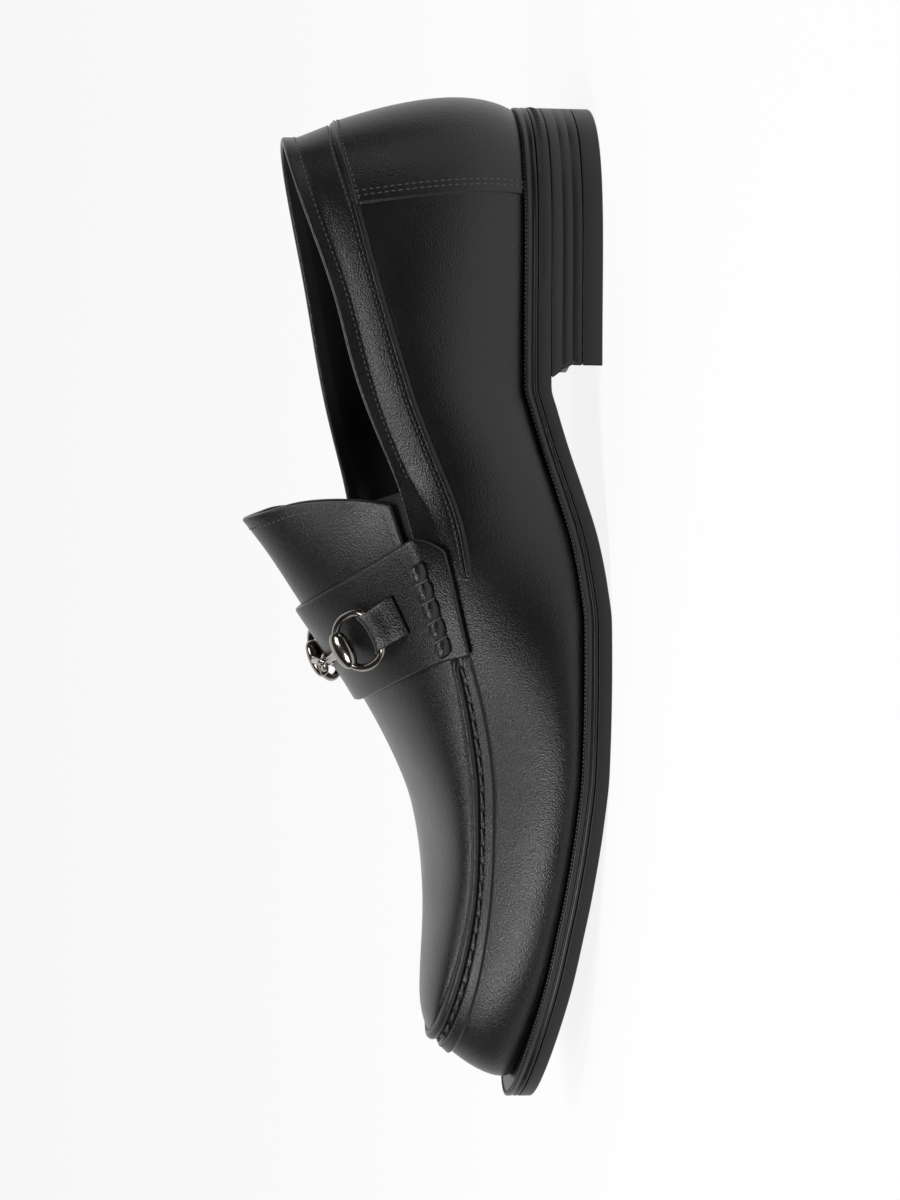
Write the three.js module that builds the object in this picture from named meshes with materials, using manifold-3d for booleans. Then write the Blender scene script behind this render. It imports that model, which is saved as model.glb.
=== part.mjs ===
// A left loafer with a metal snaffle on a saddle strap, in millimetres.
// +X points to the toe, +Y to the outer side of the foot, +Z up, and the shoe stands on z = 0.
// The upper is drawn from 24 ribs that run round the last, from the back of the heel along the
// outer side to the toe (rib 12) and back along the inner side.
import * as THREE from "three";
import { mergeVertices } from "three/addons/utils/BufferGeometryUtils.js";
import Module from "manifold-3d";

// Overall sizes of the shoe
const LENGTH = 300;
const BALL_WIDTH = 105;
const BACK_HEIGHT = 69;
const INSTEP_RISE = 36;
const TOE_SPRING = 14;
const HEEL_RISE = 15.4;

// Sole
const OUTSOLE_THICKNESS = 4;
const WELT_THICKNESS = 3.5;
const WELT_SHOW = 3.6;
const WELT_GROOVE = 0.6;
const EDGE_ROUND = 0.6;
const TOP_LIFT_THICKNESS = 5.9;
const HEEL_LENGTH = 79.5;
const BREAST_HOLLOW = 5;
const BREAST_FLARE = 6;
const INSOLE_THICKNESS = 3.6;
const INSOLE_CUP = 0.14;

// Upper
const UPPER_THICKNESS = 2.2;
const LIP_ROUND = 0.6;
const COUNTER_STEP = 0.8;
const SEAM_RIDGE_HEIGHT = 1.1;
const SEAM_RIDGE_WIDTH = 3.2;
const FLAP_HEIGHT = 1.3;
const ROLL_HEIGHT = 2;
const TONGUE_THICKNESS = 2;
const GORE_THICKNESS = 1.2;
const GORE_CLEAR = 0.5;

// Saddle strap, its rolled ends and the snaffle
const STRAP_THICKNESS = 2.2;
const ROLL_RADIUS = 2.9;
const ROLL_HEIGHT_ON_STRAP = 2.8;
const ROLL_LUMPS = 5;
const RING_LENGTH = 18.8;
const RING_WIDTH = 20.2;
const RING_WIRE = 2.3;
const HUB_LENGTH = 12;
const HUB_WIDTH = 7.6;
const HUB_HEIGHT = 5;
const HUB_INWARD = 1.6;
const BAR_THICK_END = 3.6;
const BAR_THIN_END = 2;
const EYE_DIAMETER = 5.6;
const EYE_WIRE = 1.6;
const BIT_LIFT = 0.6;
const RING_TIP = 0.07;
const RING_LEVEL = 0.15;
const KEEPER_WIDTH = 11.5;
const KEEPER_THICKNESS = 1;
const RING_SQUARE = 0.8;

// Clearance between pieces that touch, and round the ring's wire
const GAP = 0.3;
const BORE_GAP = 0.35;

const HALF_WIDTH = BALL_WIDTH / 2;
const TOE = 12;
const RIBS = 24;

const wasm = await Module();
wasm.setup();

// Smooth closed curve through values that are one step apart
function loopCurve(values) {
  const n = values.length;
  const c = values.slice();
  for (let pass = 0; pass < 60; pass++) {
    for (let i = 0; i < n; i++) {
      c[i] = (6 * values[i] - c[(i + n - 1) % n] - c[(i + 1) % n]) / 4;
    }
  }
  return (u) => {
    const i = Math.floor(u);
    const t = u - i;
    const k = (j) => c[(((i + j) % n) + n) % n];
    const s = 1 - t;
    return (s * s * s * k(-1) + (3 * t * t * t - 6 * t * t + 4) * k(0)
      + (3 * s * s * s - 6 * s * s + 4) * k(1) + t * t * t * k(2)) / 6;
  };
}

// Smooth curve through rows [place, value] that keeps level stretches level
function risingCurve(rows) {
  const slope = rows.map((row, i) => {
    if (i === 0 || i === rows.length - 1) return 0;
    const a = (row[1] - rows[i - 1][1]) / (row[0] - rows[i - 1][0]);
    const b = (rows[i + 1][1] - row[1]) / (rows[i + 1][0] - row[0]);
    return a * b > 0 ? (2 * a * b) / (a + b) : 0;
  });
  const last = rows.length - 1;
  slope[last] = (rows[last][1] - rows[last - 1][1]) / (rows[last][0] - rows[last - 1][0]);
  return (x) => {
    if (x <= rows[0][0]) return rows[0][1];
    if (x >= rows[last][0]) return rows[last][1] + slope[last] * (x - rows[last][0]);
    let i = 0;
    while (x > rows[i + 1][0]) i++;
    const h = rows[i + 1][0] - rows[i][0];
    const t = (x - rows[i][0]) / h;
    const t2 = t * t;
    const t3 = t2 * t;
    return (2 * t3 - 3 * t2 + 1) * rows[i][1] + (t3 - 2 * t2 + t) * h * slope[i]
      + (3 * t2 - 2 * t3) * rows[i + 1][1] + (t3 - t2) * h * slope[i + 1];
  };
}

const mix = (a, b, t) => a + (b - a) * t;
const clamp = (x) => Math.min(1, Math.max(0, x));

function bezier(a, b, c, d, t) {
  const s = 1 - t;
  return new THREE.Vector3()
    .addScaledVector(a, s * s * s)
    .addScaledVector(b, 3 * s * s * t)
    .addScaledVector(c, 3 * s * t * t)
    .addScaledVector(d, t * t * t);
}

// Underside of the outsole along the shoe: share of the heel rise and of the toe spring
const heelShare = risingCurve([
  [0, 1], [0.287, 1], [0.31, 0.89], [0.347, 0.69], [0.393, 0.43],
  [0.44, 0.2], [0.487, 0.06], [0.52, 0], [1, 0],
]);
const toeShare = risingCurve([
  [0, 0], [0.667, 0], [0.72, 0.065], [0.79, 0.215], [0.837, 0.355],
  [0.883, 0.5], [0.93, 0.69], [1, 1],
]);
const underside = (x) => HEEL_RISE * heelShare(x / LENGTH) + TOE_SPRING * toeShare(x / LENGTH);
const weltBottom = (x) => underside(x) + OUTSOLE_THICKNESS + GAP;
const weltTop = (x) => weltBottom(x) + WELT_THICKNESS;
const seat = (x) => weltTop(x) + GAP;

// The upper's own level line: as high as the seat at the heel and at the toe, with no bend
// where the sole drops in front of the heel
const LEVEL_START = 0.12;
const LEVEL_END = 0.8;
function levelLine(x) {
  const t = clamp((x / LENGTH - LEVEL_START) / (LEVEL_END - LEVEL_START));
  const heel = 1 - t * t * t * (t * (6 * t - 15) + 10);
  return HEEL_RISE * heel + TOE_SPRING * toeShare(x / LENGTH)
    + OUTSOLE_THICKNESS + WELT_THICKNESS + 2 * GAP;
}

// Ribs round the shoe.
// edge: sole edge, as shares of the length and half the ball width
// show: welt seen outside the upper, as a share of WELT_SHOW
// fold: where the wall ends, at the moccasin seam or just below the topline
// lip: the topline, or the inner side of the moccasin seam
// (fold and lip are shares of length, half width, and back height above the level line)
// low, high: how far the wall swells at its foot and at its head, as shares of half width
// seam: height of the collar panel's seam, as a share of the wall
const ribTable = [
  // edge            show   fold                     lip                      low    high  seam
  [0.002, 0.019,   0.50,  0.037, -0.006, 0.941,   0.037, -0.006, 0.999,   0.175, 0.150, 0.835],
  [0.032, 0.410,   0.50,  0.057, 0.305, 0.944,   0.058, 0.295, 1.002,   0.175, 0.150, 0.845],
  [0.103, 0.600,   0.55,  0.120, 0.480, 0.871,   0.120, 0.469, 0.929,   0.180, 0.175, 0.835],
  [0.190, 0.638,   0.60,  0.200, 0.573, 0.758,   0.200, 0.562, 0.816,   0.185, 0.205, 0.840],
  [0.277, 0.663,   0.60,  0.290, 0.651, 0.674,   0.290, 0.640, 0.732,   0.190, 0.205, 0.805],
  [0.357, 0.754,   0.65,  0.378, 0.722, 0.567,   0.378, 0.709, 0.625,   0.170, 0.200, 0.805],
  [0.433, 0.930,   0.80,  0.440, 0.862, 0.481,   0.442, 0.823, 0.591,   0.070, 0.100, 0.845],
  [0.523, 1.069,   1.00,  0.533, 0.836, 0.424,   0.537, 0.781, 0.505,   0.065, 0.110, 0.900],
  [0.627, 1.084,   1.00,  0.625, 0.792, 0.358,   0.628, 0.707, 0.453,   0.057, 0.105, 0.900],
  [0.730, 0.970,   1.00,  0.725, 0.728, 0.320,   0.720, 0.653, 0.415,   0.048, 0.086, 0.900],
  [0.830, 0.792,   1.05,  0.823, 0.600, 0.281,   0.812, 0.543, 0.377,   0.042, 0.076, 0.900],
  [0.925, 0.552,   1.35,  0.906, 0.415, 0.272,   0.890, 0.385, 0.392,   0.038, 0.076, 0.900],
  [1.000, 0.067,   1.80,  0.954, 0.082, 0.280,   0.932, 0.080, 0.402,   0.038, 0.086, 0.900],
  [0.937, -0.514,   1.35,  0.918, -0.314, 0.286,   0.900, -0.267, 0.400,   0.038, 0.076, 0.900],
  [0.840, -0.770,   1.05,  0.840, -0.564, 0.304,   0.828, -0.465, 0.404,   0.042, 0.076, 0.900],
  [0.737, -0.895,   1.00,  0.747, -0.703, 0.360,   0.735, -0.615, 0.458,   0.048, 0.086, 0.900],
  [0.627, -0.901,   0.90,  0.657, -0.781, 0.411,   0.648, -0.724, 0.504,   0.070, 0.080, 0.900],
  [0.523, -0.762,   0.75,  0.560, -0.857, 0.554,   0.560, -0.810, 0.619,   0.100, 0.070, 0.900],
  [0.437, -0.610,   0.60,  0.467, -0.880, 0.613,   0.468, -0.861, 0.672,   0.170, 0.075, 0.845],
  [0.357, -0.543,   0.55,  0.380, -0.811, 0.637,   0.385, -0.800, 0.697,   0.240, 0.110, 0.805],
  [0.273, -0.562,   0.50,  0.298, -0.741, 0.699,   0.298, -0.730, 0.757,   0.280, 0.195, 0.805],
  [0.187, -0.590,   0.50,  0.203, -0.650, 0.764,   0.203, -0.638, 0.822,   0.225, 0.205, 0.840],
  [0.098, -0.556,   0.50,  0.123, -0.530, 0.842,   0.123, -0.518, 0.900,   0.175, 0.180, 0.835],
  [0.030, -0.371,   0.50,  0.057, -0.324, 0.913,   0.058, -0.314, 0.971,   0.150, 0.140, 0.845],
];
const column = (k) => loopCurve(ribTable.map((row) => row[k]));
const rib = {
  edgeX: column(0), edgeY: column(1), show: column(2),
  foldX: column(3), foldY: column(4), foldZ: column(5),
  lipX: column(6), lipY: column(7), lipZ: column(8),
  low: column(9), high: column(10), seam: column(11),
};

// Cross lines over the instep, one for each rib from the collar's front (rib 5) to the toe.
// The row for rib 4 only steers the slope of the tongue's end.
// rise: crest above the line between the lips, as a share of INSTEP_RISE
// bow: how far the crest lies ahead of that line, as a share of the length
// lean: how far in from each side the flank leans, as a share of half the span
const crownTable = [
  // rise  bow    lean
  [1.36, 0.040, 0.75],
  [1.025, 0.047, 0.85],
  [0.690, 0.053, 0.93],
  [0.440, 0.040, 0.55],
  [0.328, 0.025, 0.24],
  [0.208, 0.013, 0.14],
  [0.190, 0.005, 0.12],
  [0.122, 0.005, 0.12],
  [0.000, 0.000, 0.12],
];
const FIRST_CROWN = TOE - (crownTable.length - 1);
const crownColumn = (k) => {
  const there = crownTable.map((row) => row[k]);
  const f = loopCurve([...there, ...there.slice(1, -1).reverse()]);
  return (u) => f(u - FIRST_CROWN);
};
const crownRise = crownColumn(0);
const crownBow = crownColumn(1);
const crownLean = crownColumn(2);

// Ribs at which the pieces of the upper end
const TONGUE_END = 4.94;
const STRAP_BACK = 6;
const STRAP_FRONT = 7.09;
const STRAP_FLARE = 0.1;
const STRAP_CHAMFER = 0.16;
const THROAT = 6.6667;
const MOC_START = 7.34;
const COUNTER_END = 1.9;
const RIDGE_END = 6.45;

// Places on the strap: the rib that the snaffle lies on, and shares of the way across
const SNAFFLE_AT = 6.57;
const RING_ACROSS = 0.235;
const JOINT_ACROSS = 0.46;
const SLIT_ACROSS = 0.085;
const ROLL_AT = 0.001;

const sideOf = (u) => (u > TOE ? RIBS - u : u);

const soleEdge = (u) => new THREE.Vector2(LENGTH * rib.edgeX(u), HALF_WIDTH * rib.edgeY(u));

function outward(u) {
  const a = soleEdge(u - 0.05);
  const b = soleEdge(u + 0.05);
  return new THREE.Vector2(b.y - a.y, a.x - b.x).normalize().negate();
}

// Point of the sole's outline, moved in by a distance
function outline(u, inset) {
  return soleEdge(u).addScaledVector(outward(u), -inset);
}

const weltShow = (u) => WELT_SHOW * rib.show(u);

function ribPoint(x, y, up) {
  const at = LENGTH * x;
  return new THREE.Vector3(at, HALF_WIDTH * y, levelLine(at) + BACK_HEIGHT * up);
}

const foldPoint = (u) => ribPoint(rib.foldX(u), rib.foldY(u), rib.foldZ(u));
const lipPoint = (u) => ribPoint(rib.lipX(u), rib.lipY(u), rib.lipZ(u));

// Outer face of the wall: v from 0 at the welt to 1 at the fold, then to 2 at the lip
function wall(u, v) {
  const fold = foldPoint(u);
  if (v >= 1) return fold.lerp(lipPoint(u), v - 1);
  const out = outward(u);
  const f = outline(u, weltShow(u));
  const foot = new THREE.Vector3(f.x, f.y, seat(f.x));
  const tall = fold.z - foot.z;
  const low = HALF_WIDTH * rib.low(u);
  const high = HALF_WIDTH * rib.high(u);
  const b = new THREE.Vector3(foot.x + out.x * low, foot.y + out.y * low, foot.z + 0.24 * tall);
  const c = new THREE.Vector3(fold.x + out.x * high, fold.y + out.y * high, fold.z - 0.3 * tall);
  return bezier(foot, b, c, fold, v);
}

// Outer face over the instep: s from 0 at the outer lip to 1 at the inner lip.
// Below 0 and above 1 it follows the lip down to the fold.
function crown(u, s) {
  if (s < 0) return wall(u, 2 + s);
  if (s > 1) return wall(RIBS - u, 3 - s);
  const a = lipPoint(u);
  const d = lipPoint(RIBS - u);
  const rise = (4 / 3) * INSTEP_RISE * crownRise(u);
  const bow = (4 / 3) * LENGTH * crownBow(u);
  const lean = crownLean(u) / 2;
  const b = a.clone().lerp(d, lean).add(new THREE.Vector3(bow, 0, rise));
  const c = d.clone().lerp(a, lean).add(new THREE.Vector3(bow, 0, rise));
  return bezier(a, b, c, d, s);
}

function normalOf(surface, u, v, du, dv) {
  const a = surface(u + du, v).sub(surface(u - du, v));
  const b = surface(u, v + dv).sub(surface(u, v - dv));
  return a.cross(b).normalize();
}

function crownNormal(u, s) {
  return normalOf(crown, Math.min(u, TOE - 0.1), s, 0.03, 0.02).negate();
}

// At the lip the wall's normal turns towards that of the instep
function wallNormal(u, v) {
  const n = normalOf(wall, u, v, 0.03, v > 1.98 || v < 0.02 ? 0.01 : 0.04).negate();
  const side = sideOf(u);
  if (v < 1.98 || side < FIRST_CROWN + 0.1) return n;
  const over = crownNormal(side, u > TOE ? 1 : 0);
  return n.lerp(over, clamp((side - FIRST_CROWN - 0.1) / 1.4)).normalize();
}

// Point at a height off the outer face over the instep
const overInstep = (u, s, off) => crown(u, s).addScaledVector(crownNormal(u, s), off);

// Points and faces of one closed solid
class Body {
  constructor() {
    this.points = [];
    this.faces = [];
  }

  add(p) {
    this.points.push(p.x, p.y, p.z);
    return this.points.length / 3 - 1;
  }

  tri(a, b, c) {
    if (a !== b && b !== c && c !== a) this.faces.push(a, b, c);
  }

  quad(a, b, c, d) {
    this.tri(a, b, c);
    this.tri(a, c, d);
  }

  // Faces between two rows of as many points
  strip(one, two, closed) {
    const n = one.length;
    for (let i = 0; i < (closed ? n : n - 1); i++) {
      const j = (i + 1) % n;
      this.quad(one[i], one[j], two[j], two[i]);
    }
  }

  geometry() {
    let volume = 0;
    const p = (i) => new THREE.Vector3().fromArray(this.points, 3 * i);
    for (let i = 0; i < this.faces.length; i += 3) {
      volume += p(this.faces[i]).dot(p(this.faces[i + 1]).cross(p(this.faces[i + 2])));
    }
    if (volume < 0) {
      for (let i = 0; i < this.faces.length; i += 3) {
        [this.faces[i + 1], this.faces[i + 2]] = [this.faces[i + 2], this.faces[i + 1]];
      }
    }
    const g = new THREE.BufferGeometry();
    g.setAttribute("position", new THREE.Float32BufferAttribute(this.points, 3));
    g.setIndex(this.faces);
    return g;
  }
}

// Sheet between two faces given over the same grid: face(i, j, side) with side 0 or 1
function sheet(rows, columns, face) {
  const body = new Body();
  const grid = [0, 1].map((side) => Array.from({ length: rows }, (_, i) =>
    Array.from({ length: columns }, (_, j) => body.add(face(i, j, side)))));
  for (let i = 0; i < rows - 1; i++) {
    body.strip(grid[0][i], grid[0][i + 1], false);
    body.strip(grid[1][i + 1], grid[1][i], false);
  }
  const rim = (g) => [
    ...g[0],
    ...g.slice(1, -1).map((row) => row[columns - 1]),
    ...g[rows - 1].slice().reverse(),
    ...g.slice(1, -1).map((row) => row[0]).reverse(),
  ];
  body.strip(rim(grid[1]), rim(grid[0]), true);
  return body.geometry();
}

// Slab whose edge passes through levels. Each level is a list of cross lines, from the heel
// to the toe. The first line, and the last if it is closed, shrinks to one point.
function slab(levels, closed) {
  const body = new Body();
  const grids = levels.map((lines, k) => {
    const whole = k === 0 || k === levels.length - 1;
    return lines.map((line, i) => {
      const single = i === 0 || (closed && i === lines.length - 1);
      if (single) {
        const id = body.add(line[0]);
        return line.map(() => id);
      }
      const last = !closed && i === lines.length - 1;
      return line.map((p, j) => (whole || last || j === 0 || j === line.length - 1
        ? body.add(p) : -1));
    });
  });
  const loop = (g) => {
    const end = g[g.length - 1];
    return [
      ...g.slice(0, -1).map((line) => line[0]),
      ...(closed ? [end[0]] : end),
      ...g.slice(1, -1).map((line) => line[line.length - 1]).reverse(),
    ];
  };
  for (let k = 0; k < grids.length - 1; k++) body.strip(loop(grids[k]), loop(grids[k + 1]), true);
  const cap = (g, flip) => {
    for (let i = 0; i < g.length - 1; i++) {
      if (flip) body.strip(g[i + 1], g[i], false);
      else body.strip(g[i], g[i + 1], false);
    }
  };
  cap(grids[0], false);
  cap(grids[grids.length - 1], true);
  return body.geometry();
}

function toSolid(geometry) {
  const g = geometry.clone();
  g.deleteAttribute("normal");
  g.deleteAttribute("uv");
  const merged = mergeVertices(g, 1e-4);
  return new wasm.Manifold(new wasm.Mesh({
    numProp: 3,
    vertProperties: new Float32Array(merged.attributes.position.array),
    triVerts: new Uint32Array(merged.index.array),
  }));
}

function fromSolid(solid) {
  const mesh = solid.getMesh();
  const g = new THREE.BufferGeometry();
  g.setAttribute("position", new THREE.Float32BufferAttribute(mesh.vertProperties, 3));
  g.setIndex(Array.from(mesh.triVerts));
  return g;
}

const shoe = new THREE.Group();

function place(name, geometry, look) {
  const mesh = new THREE.Mesh(geometry, new THREE.MeshStandardMaterial(look));
  mesh.name = name;
  shoe.add(mesh);
  return mesh;
}

const CALF = { color: 0x161719, roughness: 0.42, metalness: 0 };
const SOLE_BLACK = { color: 0x121314, roughness: 0.6, metalness: 0 };
const LINING = { color: 0x1a1a1c, roughness: 0.75, metalness: 0 };
const GUNMETAL = { color: 0x8d8680, roughness: 0.25, metalness: 1 };

const SOLE_LINES = 36;

// Cross lines of a layer that follows the whole outline, moved in by a distance
function layerLines(inset, height) {
  return Array.from({ length: SOLE_LINES + 1 }, (_, i) => {
    const u = (TOE * i) / SOLE_LINES;
    const a = outline(u, inset(u));
    const b = outline(RIBS - u, inset(RIBS - u));
    return [0, 0.5, 1].map((t) => {
      const x = mix(a.x, b.x, t);
      return new THREE.Vector3(x, mix(a.y, b.y, t), height(x));
    });
  });
}

// Layer with rounded edges, and a groove half way up its edge where it has one
function layer(inset, bottom, thickness, round, groove) {
  const at = (h, extra) => layerLines((u) => inset(u) + extra, (x) => bottom(x) + h);
  const levels = [at(0, round), at(round, 0)];
  if (groove > 0) {
    const mid = thickness * 0.42;
    levels.push(at(mid - groove, 0), at(mid, groove), at(mid + groove, 0));
  }
  levels.push(at(thickness - round, 0), at(thickness, round));
  return slab(levels, true);
}

place("outsole", layer(() => 0, underside, OUTSOLE_THICKNESS, EDGE_ROUND, 0), SOLE_BLACK);
place("welt",
  layer(() => 0, weltBottom, WELT_THICKNESS, EDGE_ROUND * 0.6, WELT_GROOVE), CALF);
// The insole's edge leans out with the wall that it lies against
const insoleInset = (u) => weltShow(u) + UPPER_THICKNESS + 2 * GAP;
const cup = (u, h) => INSOLE_CUP * HALF_WIDTH * rib.low(u) * (h / INSOLE_THICKNESS);
const insoleLevel = (h, extra) => layerLines((u) => insoleInset(u) + extra - cup(u, h),
  (x) => seat(x) + h);
place("insole", slab([
  insoleLevel(0, EDGE_ROUND),
  insoleLevel(EDGE_ROUND, 0),
  insoleLevel(INSOLE_THICKNESS - EDGE_ROUND, 0),
  insoleLevel(INSOLE_THICKNESS, EDGE_ROUND),
], true), LINING);

// Cross lines of the heel up to a length, with the breast hollowed
function heelLines(length, inset, z) {
  const stop = (from, side) => {
    let a = from;
    let b = from + side * 6;
    for (let pass = 0; pass < 40; pass++) {
      const m = (a + b) / 2;
      if (soleEdge(m).x < length) a = m;
      else b = m;
    }
    return a;
  };
  const outer = stop(0, 1);
  const inner = stop(RIBS, -1);
  const count = 12;
  return Array.from({ length: count + 1 }, (_, i) => {
    const t = i / count;
    const a = outline(outer * t, inset);
    const b = outline(mix(RIBS, inner, t), inset);
    return [0, 0.25, 0.5, 0.75, 1].map((w) => {
      const hollow = BREAST_HOLLOW * t * t * t * (1 - (2 * w - 1) ** 2);
      return new THREE.Vector3(mix(a.x, b.x, w) - hollow, mix(a.y, b.y, w), z);
    });
  });
}

const HEEL_TOP = HEEL_RISE - GAP;
place("heel_top_lift", slab([
  heelLines(HEEL_LENGTH - EDGE_ROUND, EDGE_ROUND, 0),
  heelLines(HEEL_LENGTH, 0, EDGE_ROUND),
  heelLines(HEEL_LENGTH, 0, TOP_LIFT_THICKNESS - EDGE_ROUND / 2),
  heelLines(HEEL_LENGTH - EDGE_ROUND / 2, EDGE_ROUND / 2, TOP_LIFT_THICKNESS),
], false), SOLE_BLACK);

const blockFoot = TOP_LIFT_THICKNESS + GAP;
const blockUp = (t) => mix(blockFoot, HEEL_TOP, t);
place("heel", slab([
  heelLines(HEEL_LENGTH - EDGE_ROUND / 2, EDGE_ROUND / 2, blockUp(0)),
  heelLines(HEEL_LENGTH, 0, blockUp(0.06)),
  heelLines(HEEL_LENGTH, 0, blockUp(0.4)),
  heelLines(HEEL_LENGTH + 0.18 * BREAST_FLARE, 0, blockUp(0.62)),
  heelLines(HEEL_LENGTH + 0.45 * BREAST_FLARE, 0, blockUp(0.8)),
  heelLines(HEEL_LENGTH + 0.62 * BREAST_FLARE, EDGE_ROUND / 2, blockUp(1)),
], false), SOLE_BLACK);

// Places of the ribs of the mesh: every third of a rib, with pairs where a step begins
const half = [];
for (let i = 0; i <= TOE * 3; i++) half.push(i / 3);
half[6] = COUNTER_END + 0.06;
half.splice(6, 0, COUNTER_END - 0.06);
half[half.indexOf(20 / 3)] = THROAT;
const mocAt = half.indexOf(22 / 3);
half[mocAt] = MOC_START;
half.splice(mocAt, 0, MOC_START - 0.12);
const ribPlaces = [...half, ...half.slice(1, -1).map((u) => RIBS - u).reverse()];
const throatRib = half.indexOf(THROAT);

// Part of the wall, from 0 to 1, where the collar panel's seam runs
function seamAt(u) {
  const foot = wall(u, 0).z;
  const target = mix(foot, foldPoint(u).z, rib.seam(u));
  let a = 0;
  let b = 1;
  for (let pass = 0; pass < 30; pass++) {
    const m = (a + b) / 2;
    if (wall(u, m).z < target) a = m;
    else b = m;
  }
  return a;
}

const tallOf = (u) => wall(u, 1).distanceTo(wall(u, 0));

// Raised parts of the wall, as levels [v, height]
function wallLevels(u) {
  const side = sideOf(u);
  const seam = seamAt(u);
  const w = SEAM_RIDGE_WIDTH / tallOf(u) / 2;
  const ridge = side <= RIDGE_END ? SEAM_RIDGE_HEIGHT : 0;
  const counter = side < COUNTER_END ? COUNTER_STEP : 0;
  const moc = side > MOC_START - 0.01 ? 1 : 0;
  const flap = FLAP_HEIGHT * moc;
  const roll = ROLL_HEIGHT * moc;
  return [
    [0, counter / 2],
    [seam * 0.24, counter], [seam * 0.5, counter], [seam * 0.76, counter],
    [seam - w, counter], [seam - w * 0.6, Math.max(ridge, counter)],
    [seam + w * 0.6, ridge], [seam + w, 0],
    [mix(seam, 1, 0.6), 0],
    [1, 0], [1.04, flap], [1.4, flap], [1.44, flap * 0.2],
    [1.56, flap * 0.2], [1.62, roll * 0.85], [1.86, roll], [2, 0],
  ];
}

const ARCH = 14;

function buildUpper() {
  const body = new Body();
  const outer = ribPlaces.map((u) => wallLevels(u).map(([v, h]) =>
    body.add(wall(u, v).addScaledVector(wallNormal(u, v), h))));
  const innerLevels = [0, 0.2, 0.42, 0.64, 0.84, 1, 1.5, 2];
  const inside = (u, v) => {
    const p = wall(u, v).addScaledVector(wallNormal(u, v), -UPPER_THICKNESS);
    if (v > 0) return p;
    const q = outline(u, weltShow(u) + UPPER_THICKNESS);
    return new THREE.Vector3(q.x, q.y, seat(q.x));
  };
  const inner = ribPlaces.map((u) => innerLevels.map((v) => body.add(inside(u, v))));
  const n = ribPlaces.length;
  for (let i = 0; i < n; i++) {
    body.strip(outer[i], outer[(i + 1) % n], false);
    body.strip(inner[(i + 1) % n], inner[i], false);
  }
  const feet = (grid) => grid.map((r) => r[0]);
  body.strip(feet(outer), feet(inner), true);

  // Apron: one cross line for each rib from the throat to the toe
  const tops = (grid, i) => grid[i][grid[i].length - 1];
  const toeRib = half.length - 1;
  const line = (grid, i, off) => Array.from({ length: ARCH + 1 }, (_, j) => {
    if (j === 0 || i === toeRib) return tops(grid, i);
    if (j === ARCH) return tops(grid, n - i);
    return body.add(overInstep(half[i], j / ARCH, off));
  });
  const lines = (grid, off) => half.slice(throatRib).map((_, k) =>
    line(grid, throatRib + k, off));
  const above = lines(outer, 0);
  const below = lines(inner, -UPPER_THICKNESS);
  for (let i = 0; i < above.length - 1; i++) {
    body.strip(above[i], above[i + 1], false);
    body.strip(below[i + 1], below[i], false);
  }

  // Topline, rounded over, and the throat's straight edge
  const path = [];
  for (let i = throatRib; i >= 0; i--) path.push(i);
  for (let i = n - 1; i >= n - throatRib; i--) path.push(i);
  const rim = path.map((i) => {
    const u = ribPlaces[i];
    const round = LIP_ROUND * clamp((TONGUE_END - sideOf(u)) * 4);
    const top = wall(u, 2);
    const up = top.clone().sub(wall(u, 1.9)).normalize();
    return body.add(top.addScaledVector(wallNormal(u, 2), -UPPER_THICKNESS / 2)
      .addScaledVector(up, round));
  });
  body.strip(path.map((i) => tops(outer, i)), rim, false);
  body.strip(rim, path.map((i) => tops(inner, i)), false);
  const a = above[0];
  const b = below[0];
  body.tri(a[0], rim[0], b[0]);
  body.tri(b[ARCH], rim[rim.length - 1], a[ARCH]);
  for (let j = 0; j < ARCH; j++) body.quad(a[j + 1], a[j], b[j], b[j + 1]);
  return body.geometry();
}

place("upper", buildUpper(), CALF);

// Tongue: goes on from the throat, its back corners rounded
const TONGUE_SIDE = 0.03;
const TONGUE_CORNER = 0.8;
const tongueFront = THROAT - 0.02;
const tongueLines = [TONGUE_END, 16 / 3, 17 / 3, STRAP_BACK, 19 / 3, tongueFront];
const tongueColumns = Array.from({ length: ARCH - 1 }, (_, j) => (j + 1) / ARCH);
tongueColumns.unshift(TONGUE_SIDE);
tongueColumns.push(1 - TONGUE_SIDE);
place("tongue", sheet(tongueLines.length, tongueColumns.length, (i, j, side) => {
  const s = tongueColumns[j];
  const edge = Math.abs(2 * s - 1);
  const bend = clamp((edge - 0.5) / 0.5);
  const corner = TONGUE_CORNER * (1 - Math.sqrt(1 - bend * bend));
  const back = tongueLines[i];
  const t = (tongueFront - back) / (tongueFront - TONGUE_END);
  return overInstep(back + corner * t, s, side === 0 ? 0 : -TONGUE_THICKNESS);
}), CALF);

// Elastic gores, inside the quarters and under the tongue's sides
const GORE_REACH = 0.1;
for (const name of ["gore_outer", "gore_inner"]) {
  const count = 7;
  const places = [-0.4, 0, GORE_REACH / 2, GORE_REACH];
  place(name, sheet(count, places.length, (i, j, side) => {
    const u = mix(TONGUE_END + 0.26, THROAT - 0.06, i / (count - 1));
    const down = UPPER_THICKNESS + GORE_CLEAR + (side === 0 ? 0 : GORE_THICKNESS);
    return overInstep(u, name === "gore_outer" ? places[j] : 1 - places[j], -down);
  }), LINING);
}

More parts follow.
